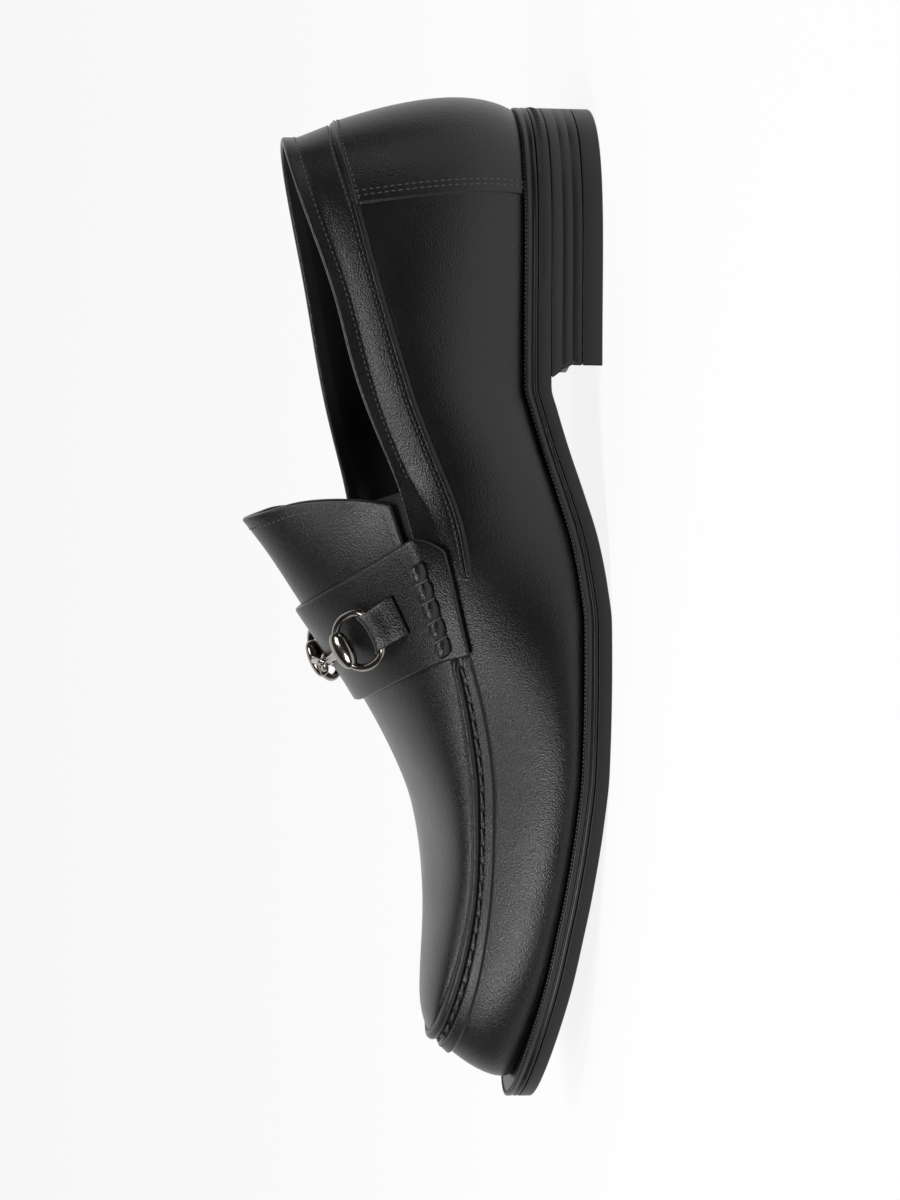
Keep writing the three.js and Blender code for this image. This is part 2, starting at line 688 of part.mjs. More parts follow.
// Saddle strap: its sides reach down over the quarters, with cut back corners
const strapLines = [STRAP_BACK, 19 / 3, THROAT, 7, STRAP_FRONT];
const strapColumns = [-1, -0.5, ...Array.from({ length: ARCH + 1 }, (_, j) => j / ARCH),
  1.5, 2];
place("strap", sheet(strapLines.length, strapColumns.length, (i, j, side) => {
  const s = strapColumns[j];
  const past = s < 0 ? -s : Math.max(0, s - 1);
  const chamfer = STRAP_CHAMFER * past * past;
  const flare = STRAP_FLARE * Math.min(1, Math.abs(2 * s - 1)) ** 4;
  const t = (STRAP_FRONT - strapLines[i]) / (STRAP_FRONT - STRAP_BACK);
  const u = strapLines[i] + chamfer * t + flare * (1 - t);
  return overInstep(u, s, GAP + (side === 0 ? STRAP_THICKNESS : 0));
}), CALF);
const STRAP_TOP = GAP + STRAP_THICKNESS;

// Closed surface through rings of as many points, with flat ends or joined in a loop
function skin(rings, closed) {
  const body = new Body();
  const ids = rings.map((ring) => ring.map((p) => body.add(p)));
  const n = ids.length;
  for (let i = 0; i < (closed ? n : n - 1); i++) body.strip(ids[i], ids[(i + 1) % n], true);
  if (!closed) {
    for (const [ring, flip] of [[ids[0], false], [ids[n - 1], true]]) {
      for (let j = 1; j < ring.length - 1; j++) {
        if (flip) body.tri(ring[0], ring[j], ring[j + 1]);
        else body.tri(ring[0], ring[j + 1], ring[j]);
      }
    }
  }
  return body.geometry();
}

// Rolls at the strap's ends, gathered into lumps by their stitches
const rollSection = [0, 36, 72, 108, 144, 180].map((d) => (d * Math.PI) / 180);
for (const name of ["roll_outer", "roll_inner"]) {
  const outer = name === "roll_outer";
  const steps = ROLL_LUMPS * 4;
  place(name, skin(Array.from({ length: steps + 1 }, (_, k) => {
    const t = k / steps;
    const u = mix(STRAP_BACK + 0.24, STRAP_FRONT + STRAP_FLARE - 0.02, t);
    const s = outer ? ROLL_AT : 1 - ROLL_AT;
    const swell = 0.68 + 0.32 * Math.abs(Math.sin(Math.PI * ROLL_LUMPS * t)) ** 0.6;
    const n = crownNormal(u, s);
    const across = crown(u, s + 0.02).sub(crown(u, s - 0.02)).normalize();
    const foot = overInstep(u, s, STRAP_TOP + GAP);
    return rollSection.map((angle) => foot.clone()
      .addScaledVector(across, ROLL_RADIUS * swell * Math.cos(angle))
      .addScaledVector(n, ROLL_HEIGHT_ON_STRAP * swell * Math.sin(angle)));
  }), false), CALF);
}

// Frame on the strap: along the shoe, towards the crest, and off the strap
function strapFrame(u, s, off) {
  const n = crownNormal(u, s);
  const up = crown(u, s + (s < 0.5 ? 0.02 : -0.02)).sub(crown(u, s)).normalize();
  up.addScaledVector(n, RING_TIP).normalize();
  const along = up.clone().cross(n).normalize();
  if (along.x < 0) along.negate();
  along.lerp(new THREE.Vector3(1, 0, 0), RING_LEVEL);
  along.addScaledVector(up, -along.dot(up)).normalize();
  const off2 = along.clone().cross(up).normalize();
  if (off2.dot(n) < 0) off2.negate();
  return { origin: overInstep(u, s, off), along, up, n: off2 };
}

const inFrame = (f, x, y, z) => f.origin.clone()
  .addScaledVector(f.along, x).addScaledVector(f.up, y).addScaledVector(f.n, z);

// Wire ring, round towards the crest and squarer where the keeper holds it
const ringX = (RING_LENGTH - RING_WIRE) / 2;
const ringY = (RING_WIDTH - RING_WIRE) / 2;
function ringAt(angle) {
  const c = Math.cos(angle);
  const s = Math.sin(angle);
  const power = s > 0 ? 1 : 2 / (2 + RING_SQUARE);
  return [Math.sign(c) * ringX * Math.abs(c) ** power,
    Math.sign(s) * ringY * Math.abs(s) ** power];
}

function ringSkin(f, radius, sides) {
  const steps = 24;
  return skin(Array.from({ length: steps }, (_, i) => {
    const angle = (2 * Math.PI * (i + 0.5)) / steps;
    const [x, y] = ringAt(angle);
    const [x0, y0] = ringAt(angle - 0.02);
    const [x1, y1] = ringAt(angle + 0.02);
    const side = new THREE.Vector2(y1 - y0, x0 - x1).normalize();
    return Array.from({ length: sides }, (_, k) => {
      const a = (2 * Math.PI * k) / sides;
      const r = radius * Math.cos(a);
      return inFrame(f, x + side.x * r, y + side.y * r, radius * Math.sin(a));
    });
  }), true);
}

// Round bar between two points, its radius given along it
function bar(from, to, radiusAt, sides, steps) {
  const axis = to.clone().sub(from).normalize();
  const x = new THREE.Vector3(1, 0, 0).cross(axis).normalize();
  const y = axis.clone().cross(x);
  return skin(Array.from({ length: steps + 1 }, (_, i) => {
    const t = i / steps;
    return Array.from({ length: sides }, (_, k) => {
      const a = (2 * Math.PI * k) / sides;
      return from.clone().lerp(to, t)
        .addScaledVector(x, radiusAt(t) * Math.cos(a))
        .addScaledVector(y, radiusAt(t) * Math.sin(a));
    });
  }), false);
}

// Small closed eye in the plane of two directions
function eye(centre, a, b) {
  const r = (EYE_DIAMETER - EYE_WIRE) / 2;
  const c = a.clone().cross(b).normalize();
  return skin(Array.from({ length: 14 }, (_, i) => {
    const t = (2 * Math.PI * i) / 14;
    const out = a.clone().multiplyScalar(Math.cos(t)).addScaledVector(b, Math.sin(t));
    return Array.from({ length: 8 }, (_, k) => {
      const q = (2 * Math.PI * k) / 8;
      return centre.clone()
        .addScaledVector(out, r + (EYE_WIRE / 2) * Math.cos(q))
        .addScaledVector(c, (EYE_WIRE / 2) * Math.sin(q));
    });
  }), true);
}

// Leaf-shaped hub that sleeves the ring's wire
function hub(f) {
  const steps = 8;
  return skin(Array.from({ length: steps + 1 }, (_, i) => {
    const x = (HUB_LENGTH / 2) * Math.cos((Math.PI * i) / steps);
    const fat = Math.max(0.14, Math.sin((Math.PI * i) / steps) ** 0.75);
    return Array.from({ length: 8 }, (_, k) => {
      const a = (2 * Math.PI * k) / 8;
      return inFrame(f, x, ringY - HUB_INWARD + (HUB_WIDTH / 2) * fat * Math.cos(a),
        (HUB_HEIGHT / 2) * fat * Math.sin(a));
    });
  }), false);
}

const eyeReach = EYE_DIAMETER / 2;
const jointPoint = overInstep(SNAFFLE_AT, JOINT_ACROSS, STRAP_TOP + eyeReach + BIT_LIFT);
for (const side of ["outer", "inner"]) {
  const outer = side === "outer";
  const across = outer ? RING_ACROSS : 1 - RING_ACROSS;
  const f = strapFrame(SNAFFLE_AT, across, STRAP_TOP + HUB_HEIGHT / 2 + BIT_LIFT);
  place(`ring_${side}`, ringSkin(f, RING_WIRE / 2, 8), GUNMETAL);

  const hubPoint = inFrame(f, 0, ringY, 0);
  const pull = hubPoint.clone().sub(jointPoint).normalize();
  const eyeRadius = (EYE_DIAMETER - EYE_WIRE) / 2;
  const centre = jointPoint.clone().addScaledVector(pull, eyeRadius / 2);
  const flat = new THREE.Vector3(1, 0, 0).addScaledVector(pull, -pull.x).normalize();
  const other = outer ? pull.clone().cross(flat) : flat;
  const start = centre.clone().addScaledVector(pull, eyeRadius);
  const bore = toSolid(ringSkin(f, RING_WIRE / 2 + BORE_GAP, 8));
  const rod = toSolid(bar(start, hubPoint,
    (t) => mix(BAR_THIN_END, BAR_THICK_END, t * t) / 2, 8, 4));
  const half_bit = toSolid(hub(f)).add(rod).subtract(bore)
    .add(toSolid(eye(centre, pull, other)));
  place(`bit_${side}`, fromSolid(half_bit), GUNMETAL);

  // Leather keeper: goes round the wire and down to its slit in the strap
  const slit = outer ? SLIT_ACROSS : 1 - SLIT_ACROSS;
  const wrap = RING_WIRE / 2 + BORE_GAP + KEEPER_THICKNESS;
  const wrapUnder = wrap - KEEPER_THICKNESS * 0.4;
  const perRib = f.along.dot(crown(SNAFFLE_AT + 0.5, across)
    .sub(crown(SNAFFLE_AT - 0.5, across)));
  const sections = Array.from({ length: 5 }, (_, i) => {
    const x = KEEPER_WIDTH * (i / 4 - 0.5);
    const low = -ringY * (1 - Math.abs(x / ringX) ** (2 + RING_SQUARE))
      ** (1 / (2 + RING_SQUARE));
    const wire = inFrame(f, x, low, 0);
    const u = SNAFFLE_AT + x / perRib;
    const end = overInstep(u, slit, STRAP_TOP + GAP + KEEPER_THICKNESS * 1.1);
    const down = end.clone().sub(wire);
    down.addScaledVector(f.along, -down.dot(f.along)).normalize();
    const lift = down.clone().cross(f.along).normalize();
    if (lift.dot(f.n) < 0) lift.negate();
    const turn = [80, 110, 145, 180, 215, 250, 280];
    return [
      end.clone().addScaledVector(lift, KEEPER_THICKNESS * 0.9),
      ...turn.map((d) => wire.clone()
        .addScaledVector(down, wrap * Math.cos((d * Math.PI) / 180))
        .addScaledVector(lift, (d > 180 ? wrapUnder : wrap) * Math.sin((d * Math.PI) / 180))),
      end.clone().addScaledVector(lift, -KEEPER_THICKNESS * 0.9),
    ];
  });
  const keeper = toSolid(skin(sections, false)).subtract(bore);
  place(`keeper_${side}`, fromSolid(keeper), CALF);
}

// Group centred on its own box, standing on z = 0
const box = new THREE.Box3().setFromObject(shoe);
const middle = box.getCenter(new THREE.Vector3());
shoe.position.set(-middle.x, -middle.y, -box.min.z);

export default shoe;
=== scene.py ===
import math

import bmesh
import bpy
import numpy as np
from mathutils import Matrix, Vector


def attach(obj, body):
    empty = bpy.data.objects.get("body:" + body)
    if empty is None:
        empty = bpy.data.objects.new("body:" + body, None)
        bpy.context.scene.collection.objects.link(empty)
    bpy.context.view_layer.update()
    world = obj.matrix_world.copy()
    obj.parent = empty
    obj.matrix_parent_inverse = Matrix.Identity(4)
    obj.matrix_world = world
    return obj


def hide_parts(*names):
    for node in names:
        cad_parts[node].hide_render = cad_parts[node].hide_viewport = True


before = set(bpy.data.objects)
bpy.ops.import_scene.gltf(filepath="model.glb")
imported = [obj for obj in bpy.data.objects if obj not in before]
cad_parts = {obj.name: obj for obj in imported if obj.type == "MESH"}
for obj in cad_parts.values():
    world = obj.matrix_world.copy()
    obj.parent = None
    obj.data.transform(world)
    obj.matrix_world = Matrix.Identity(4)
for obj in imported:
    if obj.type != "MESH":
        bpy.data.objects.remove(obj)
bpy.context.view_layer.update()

# The upper's wall: quarters, counter and collar band of smooth black calf, lasted over the
# foot's shape and stitched, with a leather lining turned over at the topline. All sizes are
# millimetres, measured from the back of the heel, and are set down in metres at the end.
LENGTH = 300.0
HALF_WIDTH = 52.5
BACK_HEIGHT = 69.0
INSTEP_RISE = 36.0
TOE_SPRING = 14.0
HEEL_RISE = 15.4
OUTSOLE_THICKNESS = 4.0
WELT_THICKNESS = 3.5
WELT_SHOW = 3.6
GAP = 0.3
UPPER_THICKNESS = 2.2
CENTRE = np.array([149.1161, 4.0365, 0.0])
TOE = 12
RIBS = 24


def loop_curve(values):
    """Smooth closed curve through values one step apart."""
    v = np.array(values, float)
    c = v.copy()
    n = len(v)
    for _ in range(60):
        for i in range(n):
            c[i] = (6 * v[i] - c[i - 1] - c[(i + 1) % n]) / 4

    def curve(u):
        u = np.asarray(u, float)
        i = np.floor(u).astype(int)
        t = u - i
        s = 1 - t
        return (s ** 3 * c[(i - 1) % n] + (3 * t ** 3 - 6 * t * t + 4) * c[i % n]
                + (3 * s ** 3 - 6 * s * s + 4) * c[(i + 1) % n] + t ** 3 * c[(i + 2) % n]) / 6

    return curve


def rising_curve(rows):
    """Smooth curve through rows (place, value) that keeps level stretches level."""
    x, y = np.array(rows, float).T
    step = np.diff(y) / np.diff(x)
    slope = np.zeros(len(x))
    for i in range(1, len(x) - 1):
        if step[i - 1] * step[i] > 0:
            slope[i] = 2 * step[i - 1] * step[i] / (step[i - 1] + step[i])
    slope[-1] = step[-1]

    def curve(at):
        at = np.asarray(at, float)
        i = np.clip(np.searchsorted(x, at) - 1, 0, len(x) - 2)
        h = x[i + 1] - x[i]
        t = np.clip((at - x[i]) / h, 0, None)
        inside = ((2 * t ** 3 - 3 * t * t + 1) * y[i] + (t ** 3 - 2 * t * t + t) * h * slope[i]
                  + (3 * t * t - 2 * t ** 3) * y[i + 1] + (t ** 3 - t * t) * h * slope[i + 1])
        return np.where(at > x[-1], y[-1] + slope[-1] * (at - x[-1]), inside)

    return curve


heel_share = rising_curve([
    (0, 1), (0.287, 1), (0.31, 0.89), (0.347, 0.69), (0.393, 0.43),
    (0.44, 0.2), (0.487, 0.06), (0.52, 0), (1, 0)])
toe_share = rising_curve([
    (0, 0), (0.667, 0), (0.72, 0.065), (0.79, 0.215), (0.837, 0.355),
    (0.883, 0.5), (0.93, 0.69), (1, 1)])


def underside(x):
    return HEEL_RISE * heel_share(x / LENGTH) + TOE_SPRING * toe_share(x / LENGTH)


def welt_bottom(x):
    return underside(x) + OUTSOLE_THICKNESS + GAP


def seat(x):
    return welt_bottom(x) + WELT_THICKNESS + GAP


def level_line(x):
    """The upper's own level line, with no bend where the sole drops in front of the heel."""
    t = np.clip((x / LENGTH - 0.12) / 0.68, 0, 1)
    heel = 1 - t ** 3 * (t * (6 * t - 15) + 10)
    return (HEEL_RISE * heel + TOE_SPRING * toe_share(x / LENGTH)
            + OUTSOLE_THICKNESS + WELT_THICKNESS + 2 * GAP)


# One row for each rib round the last, from the heel along the outer side to the toe and back
RIB_TABLE = np.array([
    # edge x, y     show   fold x, y, z            lip x, y, z              low    high   seam
    (0.002, 0.019, 0.50, 0.037, -0.006, 0.941, 0.037, -0.006, 0.999, 0.175, 0.150, 0.835),
    (0.032, 0.410, 0.50, 0.057, 0.305, 0.944, 0.058, 0.295, 1.002, 0.175, 0.150, 0.845),
    (0.103, 0.600, 0.55, 0.120, 0.480, 0.871, 0.120, 0.469, 0.929, 0.180, 0.175, 0.835),
    (0.190, 0.638, 0.60, 0.200, 0.573, 0.758, 0.200, 0.562, 0.816, 0.185, 0.205, 0.840),
    (0.277, 0.663, 0.60, 0.290, 0.651, 0.674, 0.290, 0.640, 0.732, 0.190, 0.205, 0.805),
    (0.357, 0.754, 0.65, 0.378, 0.722, 0.567, 0.378, 0.709, 0.625, 0.170, 0.200, 0.805),
    (0.433, 0.930, 0.80, 0.440, 0.862, 0.481, 0.442, 0.823, 0.591, 0.070, 0.100, 0.845),
    (0.523, 1.069, 1.00, 0.533, 0.836, 0.424, 0.537, 0.781, 0.505, 0.065, 0.110, 0.900),
    (0.627, 1.084, 1.00, 0.625, 0.792, 0.358, 0.628, 0.707, 0.453, 0.057, 0.105, 0.900),
    (0.730, 0.970, 1.00, 0.725, 0.728, 0.320, 0.720, 0.653, 0.415, 0.048, 0.086, 0.900),
    (0.830, 0.792, 1.05, 0.823, 0.600, 0.281, 0.812, 0.543, 0.377, 0.042, 0.076, 0.900),
    (0.925, 0.552, 1.35, 0.906, 0.415, 0.272, 0.890, 0.385, 0.392, 0.038, 0.076, 0.900),
    (1.000, 0.067, 1.80, 0.954, 0.082, 0.280, 0.932, 0.080, 0.402, 0.038, 0.086, 0.900),
    (0.937, -0.514, 1.35, 0.918, -0.314, 0.286, 0.900, -0.267, 0.400, 0.038, 0.076, 0.900),
    (0.840, -0.770, 1.05, 0.840, -0.564, 0.304, 0.828, -0.465, 0.404, 0.042, 0.076, 0.900),
    (0.737, -0.895, 1.00, 0.747, -0.703, 0.360, 0.735, -0.615, 0.458, 0.048, 0.086, 0.900),
    (0.627, -0.901, 0.90, 0.657, -0.781, 0.411, 0.648, -0.724, 0.504, 0.070, 0.080, 0.900),
    (0.523, -0.762, 0.75, 0.560, -0.857, 0.554, 0.560, -0.810, 0.619, 0.100, 0.070, 0.900),
    (0.437, -0.610, 0.60, 0.467, -0.880, 0.613, 0.468, -0.861, 0.672, 0.170, 0.075, 0.845),
    (0.357, -0.543, 0.55, 0.380, -0.811, 0.637, 0.385, -0.800, 0.697, 0.240, 0.110, 0.805),
    (0.273, -0.562, 0.50, 0.298, -0.741, 0.699, 0.298, -0.730, 0.757, 0.280, 0.195, 0.805),
    (0.187, -0.590, 0.50, 0.203, -0.650, 0.764, 0.203, -0.638, 0.822, 0.225, 0.205, 0.840),
    (0.098, -0.556, 0.50, 0.123, -0.530, 0.842, 0.123, -0.518, 0.900, 0.175, 0.180, 0.835),
    (0.030, -0.371, 0.50, 0.057, -0.324, 0.913, 0.058, -0.314, 0.971, 0.150, 0.140, 0.845),
])
(edge_x, edge_y, show_share, fold_x, fold_y, fold_z,
 lip_x, lip_y, lip_z, low_share, high_share, seam_share) = [
    loop_curve(column) for column in RIB_TABLE.T]

# Cross lines over the instep, one for each rib from rib 4 to the toe
CROWN_TABLE = np.array([
    # rise  bow    lean
    (1.36, 0.040, 0.75), (1.025, 0.047, 0.85), (0.690, 0.053, 0.93), (0.440, 0.040, 0.55),
    (0.328, 0.025, 0.24), (0.208, 0.013, 0.14), (0.190, 0.005, 0.12), (0.122, 0.005, 0.12),
    (0.000, 0.000, 0.12)])
FIRST_CROWN = 4
crown_rise, crown_bow, crown_lean = [
    loop_curve(np.concatenate([column, column[1:-1][::-1]])) for column in CROWN_TABLE.T]


def stack(x, y, z):
    return np.stack(np.broadcast_arrays(x, y, z), -1).astype(float)


def sole_edge(u):
    return np.stack([LENGTH * edge_x(u), HALF_WIDTH * edge_y(u)], -1)


def outward(u):
    d = sole_edge(u + 0.05) - sole_edge(u - 0.05)
    n = np.stack([-d[..., 1], d[..., 0]], -1)
    return n / np.linalg.norm(n, axis=-1, keepdims=True)


def outline(u, inset):
    return sole_edge(u) - outward(u) * np.asarray(inset)[..., None]


def welt_show(u):
    return WELT_SHOW * show_share(u)


def rib_point(x, y, up):
    at = LENGTH * x
    return stack(at, HALF_WIDTH * y, level_line(at) + BACK_HEIGHT * up)


def fold_point(u):
    return rib_point(fold_x(u), fold_y(u), fold_z(u))


def lip_point(u):
    return rib_point(lip_x(u), lip_y(u), lip_z(u))


def bezier(a, b, c, d, t):
    t = t[..., None]
    s = 1 - t
    return a * s ** 3 + 3 * b * s * s * t + 3 * c * s * t * t + d * t ** 3


def wall(u, v):
    """Outer face of the wall: v from 0 at the welt to 1 at the fold and 2 at the lip."""
    u, v = np.broadcast_arrays(np.asarray(u, float), np.asarray(v, float))
    fold = fold_point(u)
    lip = lip_point(u)
    out = outward(u)
    foot = outline(u, welt_show(u))
    foot = stack(foot[..., 0], foot[..., 1], seat(foot[..., 0]))
    tall = fold[..., 2] - foot[..., 2]
    low = HALF_WIDTH * low_share(u)
    high = HALF_WIDTH * high_share(u)
    b = foot + stack(out[..., 0] * low, out[..., 1] * low, 0.24 * tall)
    c = fold + stack(out[..., 0] * high, out[..., 1] * high, -0.3 * tall)
    below = bezier(foot, b, c, fold, np.clip(v, 0, 1))
    above = fold + (lip - fold) * (v - 1)[..., None]
    return np.where((v >= 1)[..., None], above, below)


def crown(u, s):
    """Outer face over the instep: s from 0 at the outer lip to 1 at the inner lip."""
    u, s = np.broadcast_arrays(np.asarray(u, float), np.asarray(s, float))
    a = lip_point(u)
    d = lip_point(RIBS - u)
    rise = 4 / 3 * INSTEP_RISE * crown_rise(u - FIRST_CROWN)
    bow = 4 / 3 * LENGTH * crown_bow(u - FIRST_CROWN)
    lean = (crown_lean(u - FIRST_CROWN) / 2)[..., None]
    lift = stack(bow, 0, rise)
    over = bezier(a, a + (d - a) * lean + lift, d + (a - d) * lean + lift, d, np.clip(s, 0, 1))
    outer = wall(u, np.clip(2 + s, 0, 2))
    inner = wall(RIBS - u, np.clip(3 - s, 0, 2))
    return np.where((s < 0)[..., None], outer, np.where((s > 1)[..., None], inner, over))


def unit(a):
    return a / np.maximum(np.linalg.norm(a, axis=-1, keepdims=True), 1e-12)


def normal_of(surface, u, v, du, dv):
    a = surface(u + du, v) - surface(u - du, v)
    b = surface(u, v + dv) - surface(u, v - dv)
    return unit(np.cross(a, b))


def crown_normal(u, s):
    return -normal_of(crown, np.minimum(u, TOE - 0.1), s, 0.03, 0.02)


def over_instep(u, s, off=0.0):
    u, s, off = np.broadcast_arrays(*[np.asarray(a, float) for a in (u, s, off)])
    return crown(u, s) + crown_normal(u, s) * off[..., None]


def smooth_step(t):
    t = np.clip(t, 0, 1)
    return t * t * (3 - 2 * t)


def place(points):
    return (np.asarray(points, float).reshape(-1, 3) - CENTRE) / 1000


def quads(rows, columns, close_rows=False, close_columns=False, start=0):
    """Faces over a grid of points kept row by row."""
    r = np.arange(rows if close_rows else rows - 1)
    c = np.arange(columns if close_columns else columns - 1)
    i, j = np.meshgrid(r, c, indexing="ij")
    i2 = (i + 1) % rows
    j2 = (j + 1) % columns
    f = np.stack([i * columns + j, i * columns + j2, i2 * columns + j2, i2 * columns + j], -1)
    return f.reshape(-1, 4) + start


def border_of(grid):
    """The indices once round the edge of a grid."""
    return np.concatenate([grid[0], grid[1:-1, -1], grid[-1][::-1], grid[1:-1, 0][::-1]])


def make_mesh(name, points, faces, materials):
    """A piece from points in millimetres, its faces turned outwards and shaded smooth."""
    mesh = bpy.data.meshes.new(name)
    mesh.from_pydata(place(points).tolist(), [], [list(map(int, f)) for f in faces])
    b = bmesh.new()
    b.from_mesh(mesh)
    bmesh.ops.remove_doubles(b, verts=b.verts, dist=1e-6)
    bmesh.ops.dissolve_degenerate(b, edges=b.edges, dist=1e-7)
    bmesh.ops.recalc_face_normals(b, faces=b.faces)
    if b.calc_volume(signed=True) < 0:
        bmesh.ops.reverse_faces(b, faces=b.faces)
    for face in b.faces:
        face.smooth = True
    b.to_mesh(mesh)
    b.free()
    for material in materials:
        mesh.materials.append(material)
    piece = bpy.data.objects.new(name, mesh)
    bpy.context.scene.collection.objects.link(piece)
    return piece


def node_material(name):
    """A material with its node tree, its shader and the object's own coordinates."""
    material = bpy.data.materials.new(name)
    material.use_nodes = True
    tree = material.node_tree
    at = tree.nodes.new("ShaderNodeTexCoord").outputs["Object"]
    return material, tree, tree.nodes["Principled BSDF"], at


def pattern(tree, kind, at, scale, detail=2):
    """A texture laid on the object's own coordinates."""
    texture = tree.nodes.new("ShaderNodeTex" + kind)
    texture.inputs["Scale"].default_value = scale
    if kind == "Noise":
        texture.inputs["Detail"].default_value = detail
    tree.links.new(at, texture.inputs["Vector"])
    return texture


def relief(tree, height, strength, depth, towards):
    """Bump from a height, depth in metres, into a normal socket."""
    bump = tree.nodes.new("ShaderNodeBump")
    bump.inputs["Strength"].default_value = strength
    bump.inputs["Distance"].default_value = depth
    tree.links.new(height, bump.inputs["Height"])
    tree.links.new(bump.outputs["Normal"], towards)
    return bump


def uneven_gloss(tree, shader, value, low, high, value_low=0.0, value_high=1.0):
    """Roughness that follows a pattern between two values."""
    gloss = tree.nodes.new("ShaderNodeMapRange")
    gloss.inputs["From Min"].default_value = value_low
    gloss.inputs["From Max"].default_value = value_high
    gloss.inputs["To Min"].default_value = low
    gloss.inputs["To Max"].default_value = high
    tree.links.new(value, gloss.inputs["Value"])
    tree.links.new(gloss.outputs["Result"], shader.inputs["Roughness"])


def leather(name, colour, roughness, grain, cell):
    """Finished leather: fine pebble grain over faint broad waves, with uneven gloss."""
    material, tree, shader, at = node_material(name)
    shader.inputs["Specular IOR Level"].default_value = 0.5
    pebble = pattern(tree, "Voronoi", at, 1000 / cell)
    pebble.feature = "SMOOTH_F1"
    pebble.inputs["Smoothness"].default_value = 0.6
    fine = pattern(tree, "Noise", at, 2600 / cell, 3)
    broad = pattern(tree, "Noise", at, 38, 4)
    height = tree.nodes.new("ShaderNodeMix")
    height.inputs["Factor"].default_value = 0.35
    tree.links.new(pebble.outputs["Distance"], height.inputs["A"])
    tree.links.new(fine.outputs["Fac"], height.inputs["B"])
    bump = relief(tree, height.outputs["Result"], grain, 0.0003, shader.inputs["Normal"])
    relief(tree, broad.outputs["Fac"], 0.035, 0.004, bump.inputs["Normal"])
    uneven_gloss(tree, shader, broad.outputs["Fac"], roughness - 0.04, roughness + 0.05, 0.3, 0.7)
    tint = tree.nodes.new("ShaderNodeMix")
    tint.data_type = "RGBA"
    tint.inputs["A"].default_value = (*[c * 0.8 for c in colour], 1)
    tint.inputs["B"].default_value = (*[c * 1.25 for c in colour], 1)
    tree.links.new(broad.outputs["Fac"], tint.inputs["Factor"])
    tree.links.new(tint.outputs["Result"], shader.inputs["Base Color"])
    return material


calf = leather("calf", (0.0035, 0.0035, 0.0035), 0.3, 0.45, 0.48)
lining = leather("lining", (0.004, 0.004, 0.0045), 0.7, 0.4, 0.5)

COUNTER_END = 1.9
COUNTER_STEP = 0.8
RIDGE_END = 6.45
RIDGE_WIDTH = 2.3
RIDGE_HEIGHT = 0.95
MOC_START = 7.3
FLAP_HEIGHT = 1.3
ROLL_HEIGHT = 2.0

around = np.concatenate([
    np.linspace(0, 24, 384, endpoint=False),
    COUNTER_END + np.linspace(-0.035, 0.035, 9), RIBS - COUNTER_END + np.linspace(-0.035, 0.035, 9),
    RIDGE_END + np.linspace(-0.04, 0.04, 7), RIBS - RIDGE_END + np.linspace(-0.04, 0.04, 7)])
around = np.unique(np.round(around, 4))
side_of = np.where(around > TOE, RIBS - around, around)
samples = np.concatenate([np.linspace(0, 1, 121), np.linspace(1, 2, 41)[1:]])
bare = wall(around[:, None], samples[None, :])
span = np.linalg.norm(np.diff(bare, axis=1), axis=-1)
run = np.concatenate([np.zeros((len(around), 1)), np.cumsum(span, axis=1)], axis=1)
fold_run = run[:, 120]
lip_run = run[:, -1]
seam_height = (bare[:, 0, 2] + (bare[:, 120, 2] - bare[:, 0, 2]) * seam_share(around))
seam_run = np.array([np.interp(h, bare[i, :121, 2], run[i, :121])
                     for i, h in enumerate(seam_height)])
seam_run = np.minimum(seam_run, fold_run - 4.5)

# Rows of the wall, close together at the collar seam and over the moccasin seam
rows = np.concatenate([
    np.linspace(0, 1, 30, endpoint=False)[None, :] * (seam_run - 2.6)[:, None],
    (seam_run - 2.6)[:, None] + np.linspace(0, 5.2, 26, endpoint=False)[None, :],
    (seam_run + 2.6)[:, None]
    + np.linspace(0, 1, 8, endpoint=False)[None, :] * (fold_run - 0.8 - seam_run - 2.6)[:, None],
    (fold_run - 0.8)[:, None]
    + np.linspace(0, 1, 42)[None, :] * (lip_run - fold_run + 0.8)[:, None]], axis=1)
outer = np.empty((*rows.shape, 3))
for i in range(len(around)):
    for k in range(3):
        outer[i, :, k] = np.interp(rows[i], run[i], bare[i, :, k])
# The fold at the topline is soft; at the moccasin seam the strips cover it
soft = outer.copy()
for _ in range(24):
    soft[:, 1:-1] = 0.5 * soft[:, 1:-1] + 0.25 * (soft[:, :-2] + soft[:, 2:])
near = np.exp(-((rows - fold_run[:, None]) / 3.0) ** 2) * (side_of < 6.6)[:, None]
outer += (soft - outer) * near[..., None]

along = np.roll(outer, -1, 0) - np.roll(outer, 1, 0)
up = np.empty_like(outer)
up[:, 1:-1] = outer[:, 2:] - outer[:, :-2]
up[:, 0] = outer[:, 1] - outer[:, 0]
up[:, -1] = outer[:, -1] - outer[:, -2]
face_out = unit(np.cross(up, along))
outward_check = outward(around)
turn = np.sign((face_out[:, 5, 0] * outward_check[:, 0]
                + face_out[:, 5, 1] * outward_check[:, 1]).mean())
face_out *= turn
at_lip = crown_normal(np.clip(side_of, FIRST_CROWN + 0.1, TOE - 0.1),
                      np.where(around > TOE, 1.0, 0.0))
bend = smooth_step((side_of - FIRST_CROWN - 0.1) / 1.4)[:, None] \
    * smooth_step((rows - fold_run[:, None]) / np.maximum(lip_run - fold_run, 1)[:, None])
face_out = unit(face_out * (1 - bend[..., None]) + at_lip[:, None] * bend[..., None])

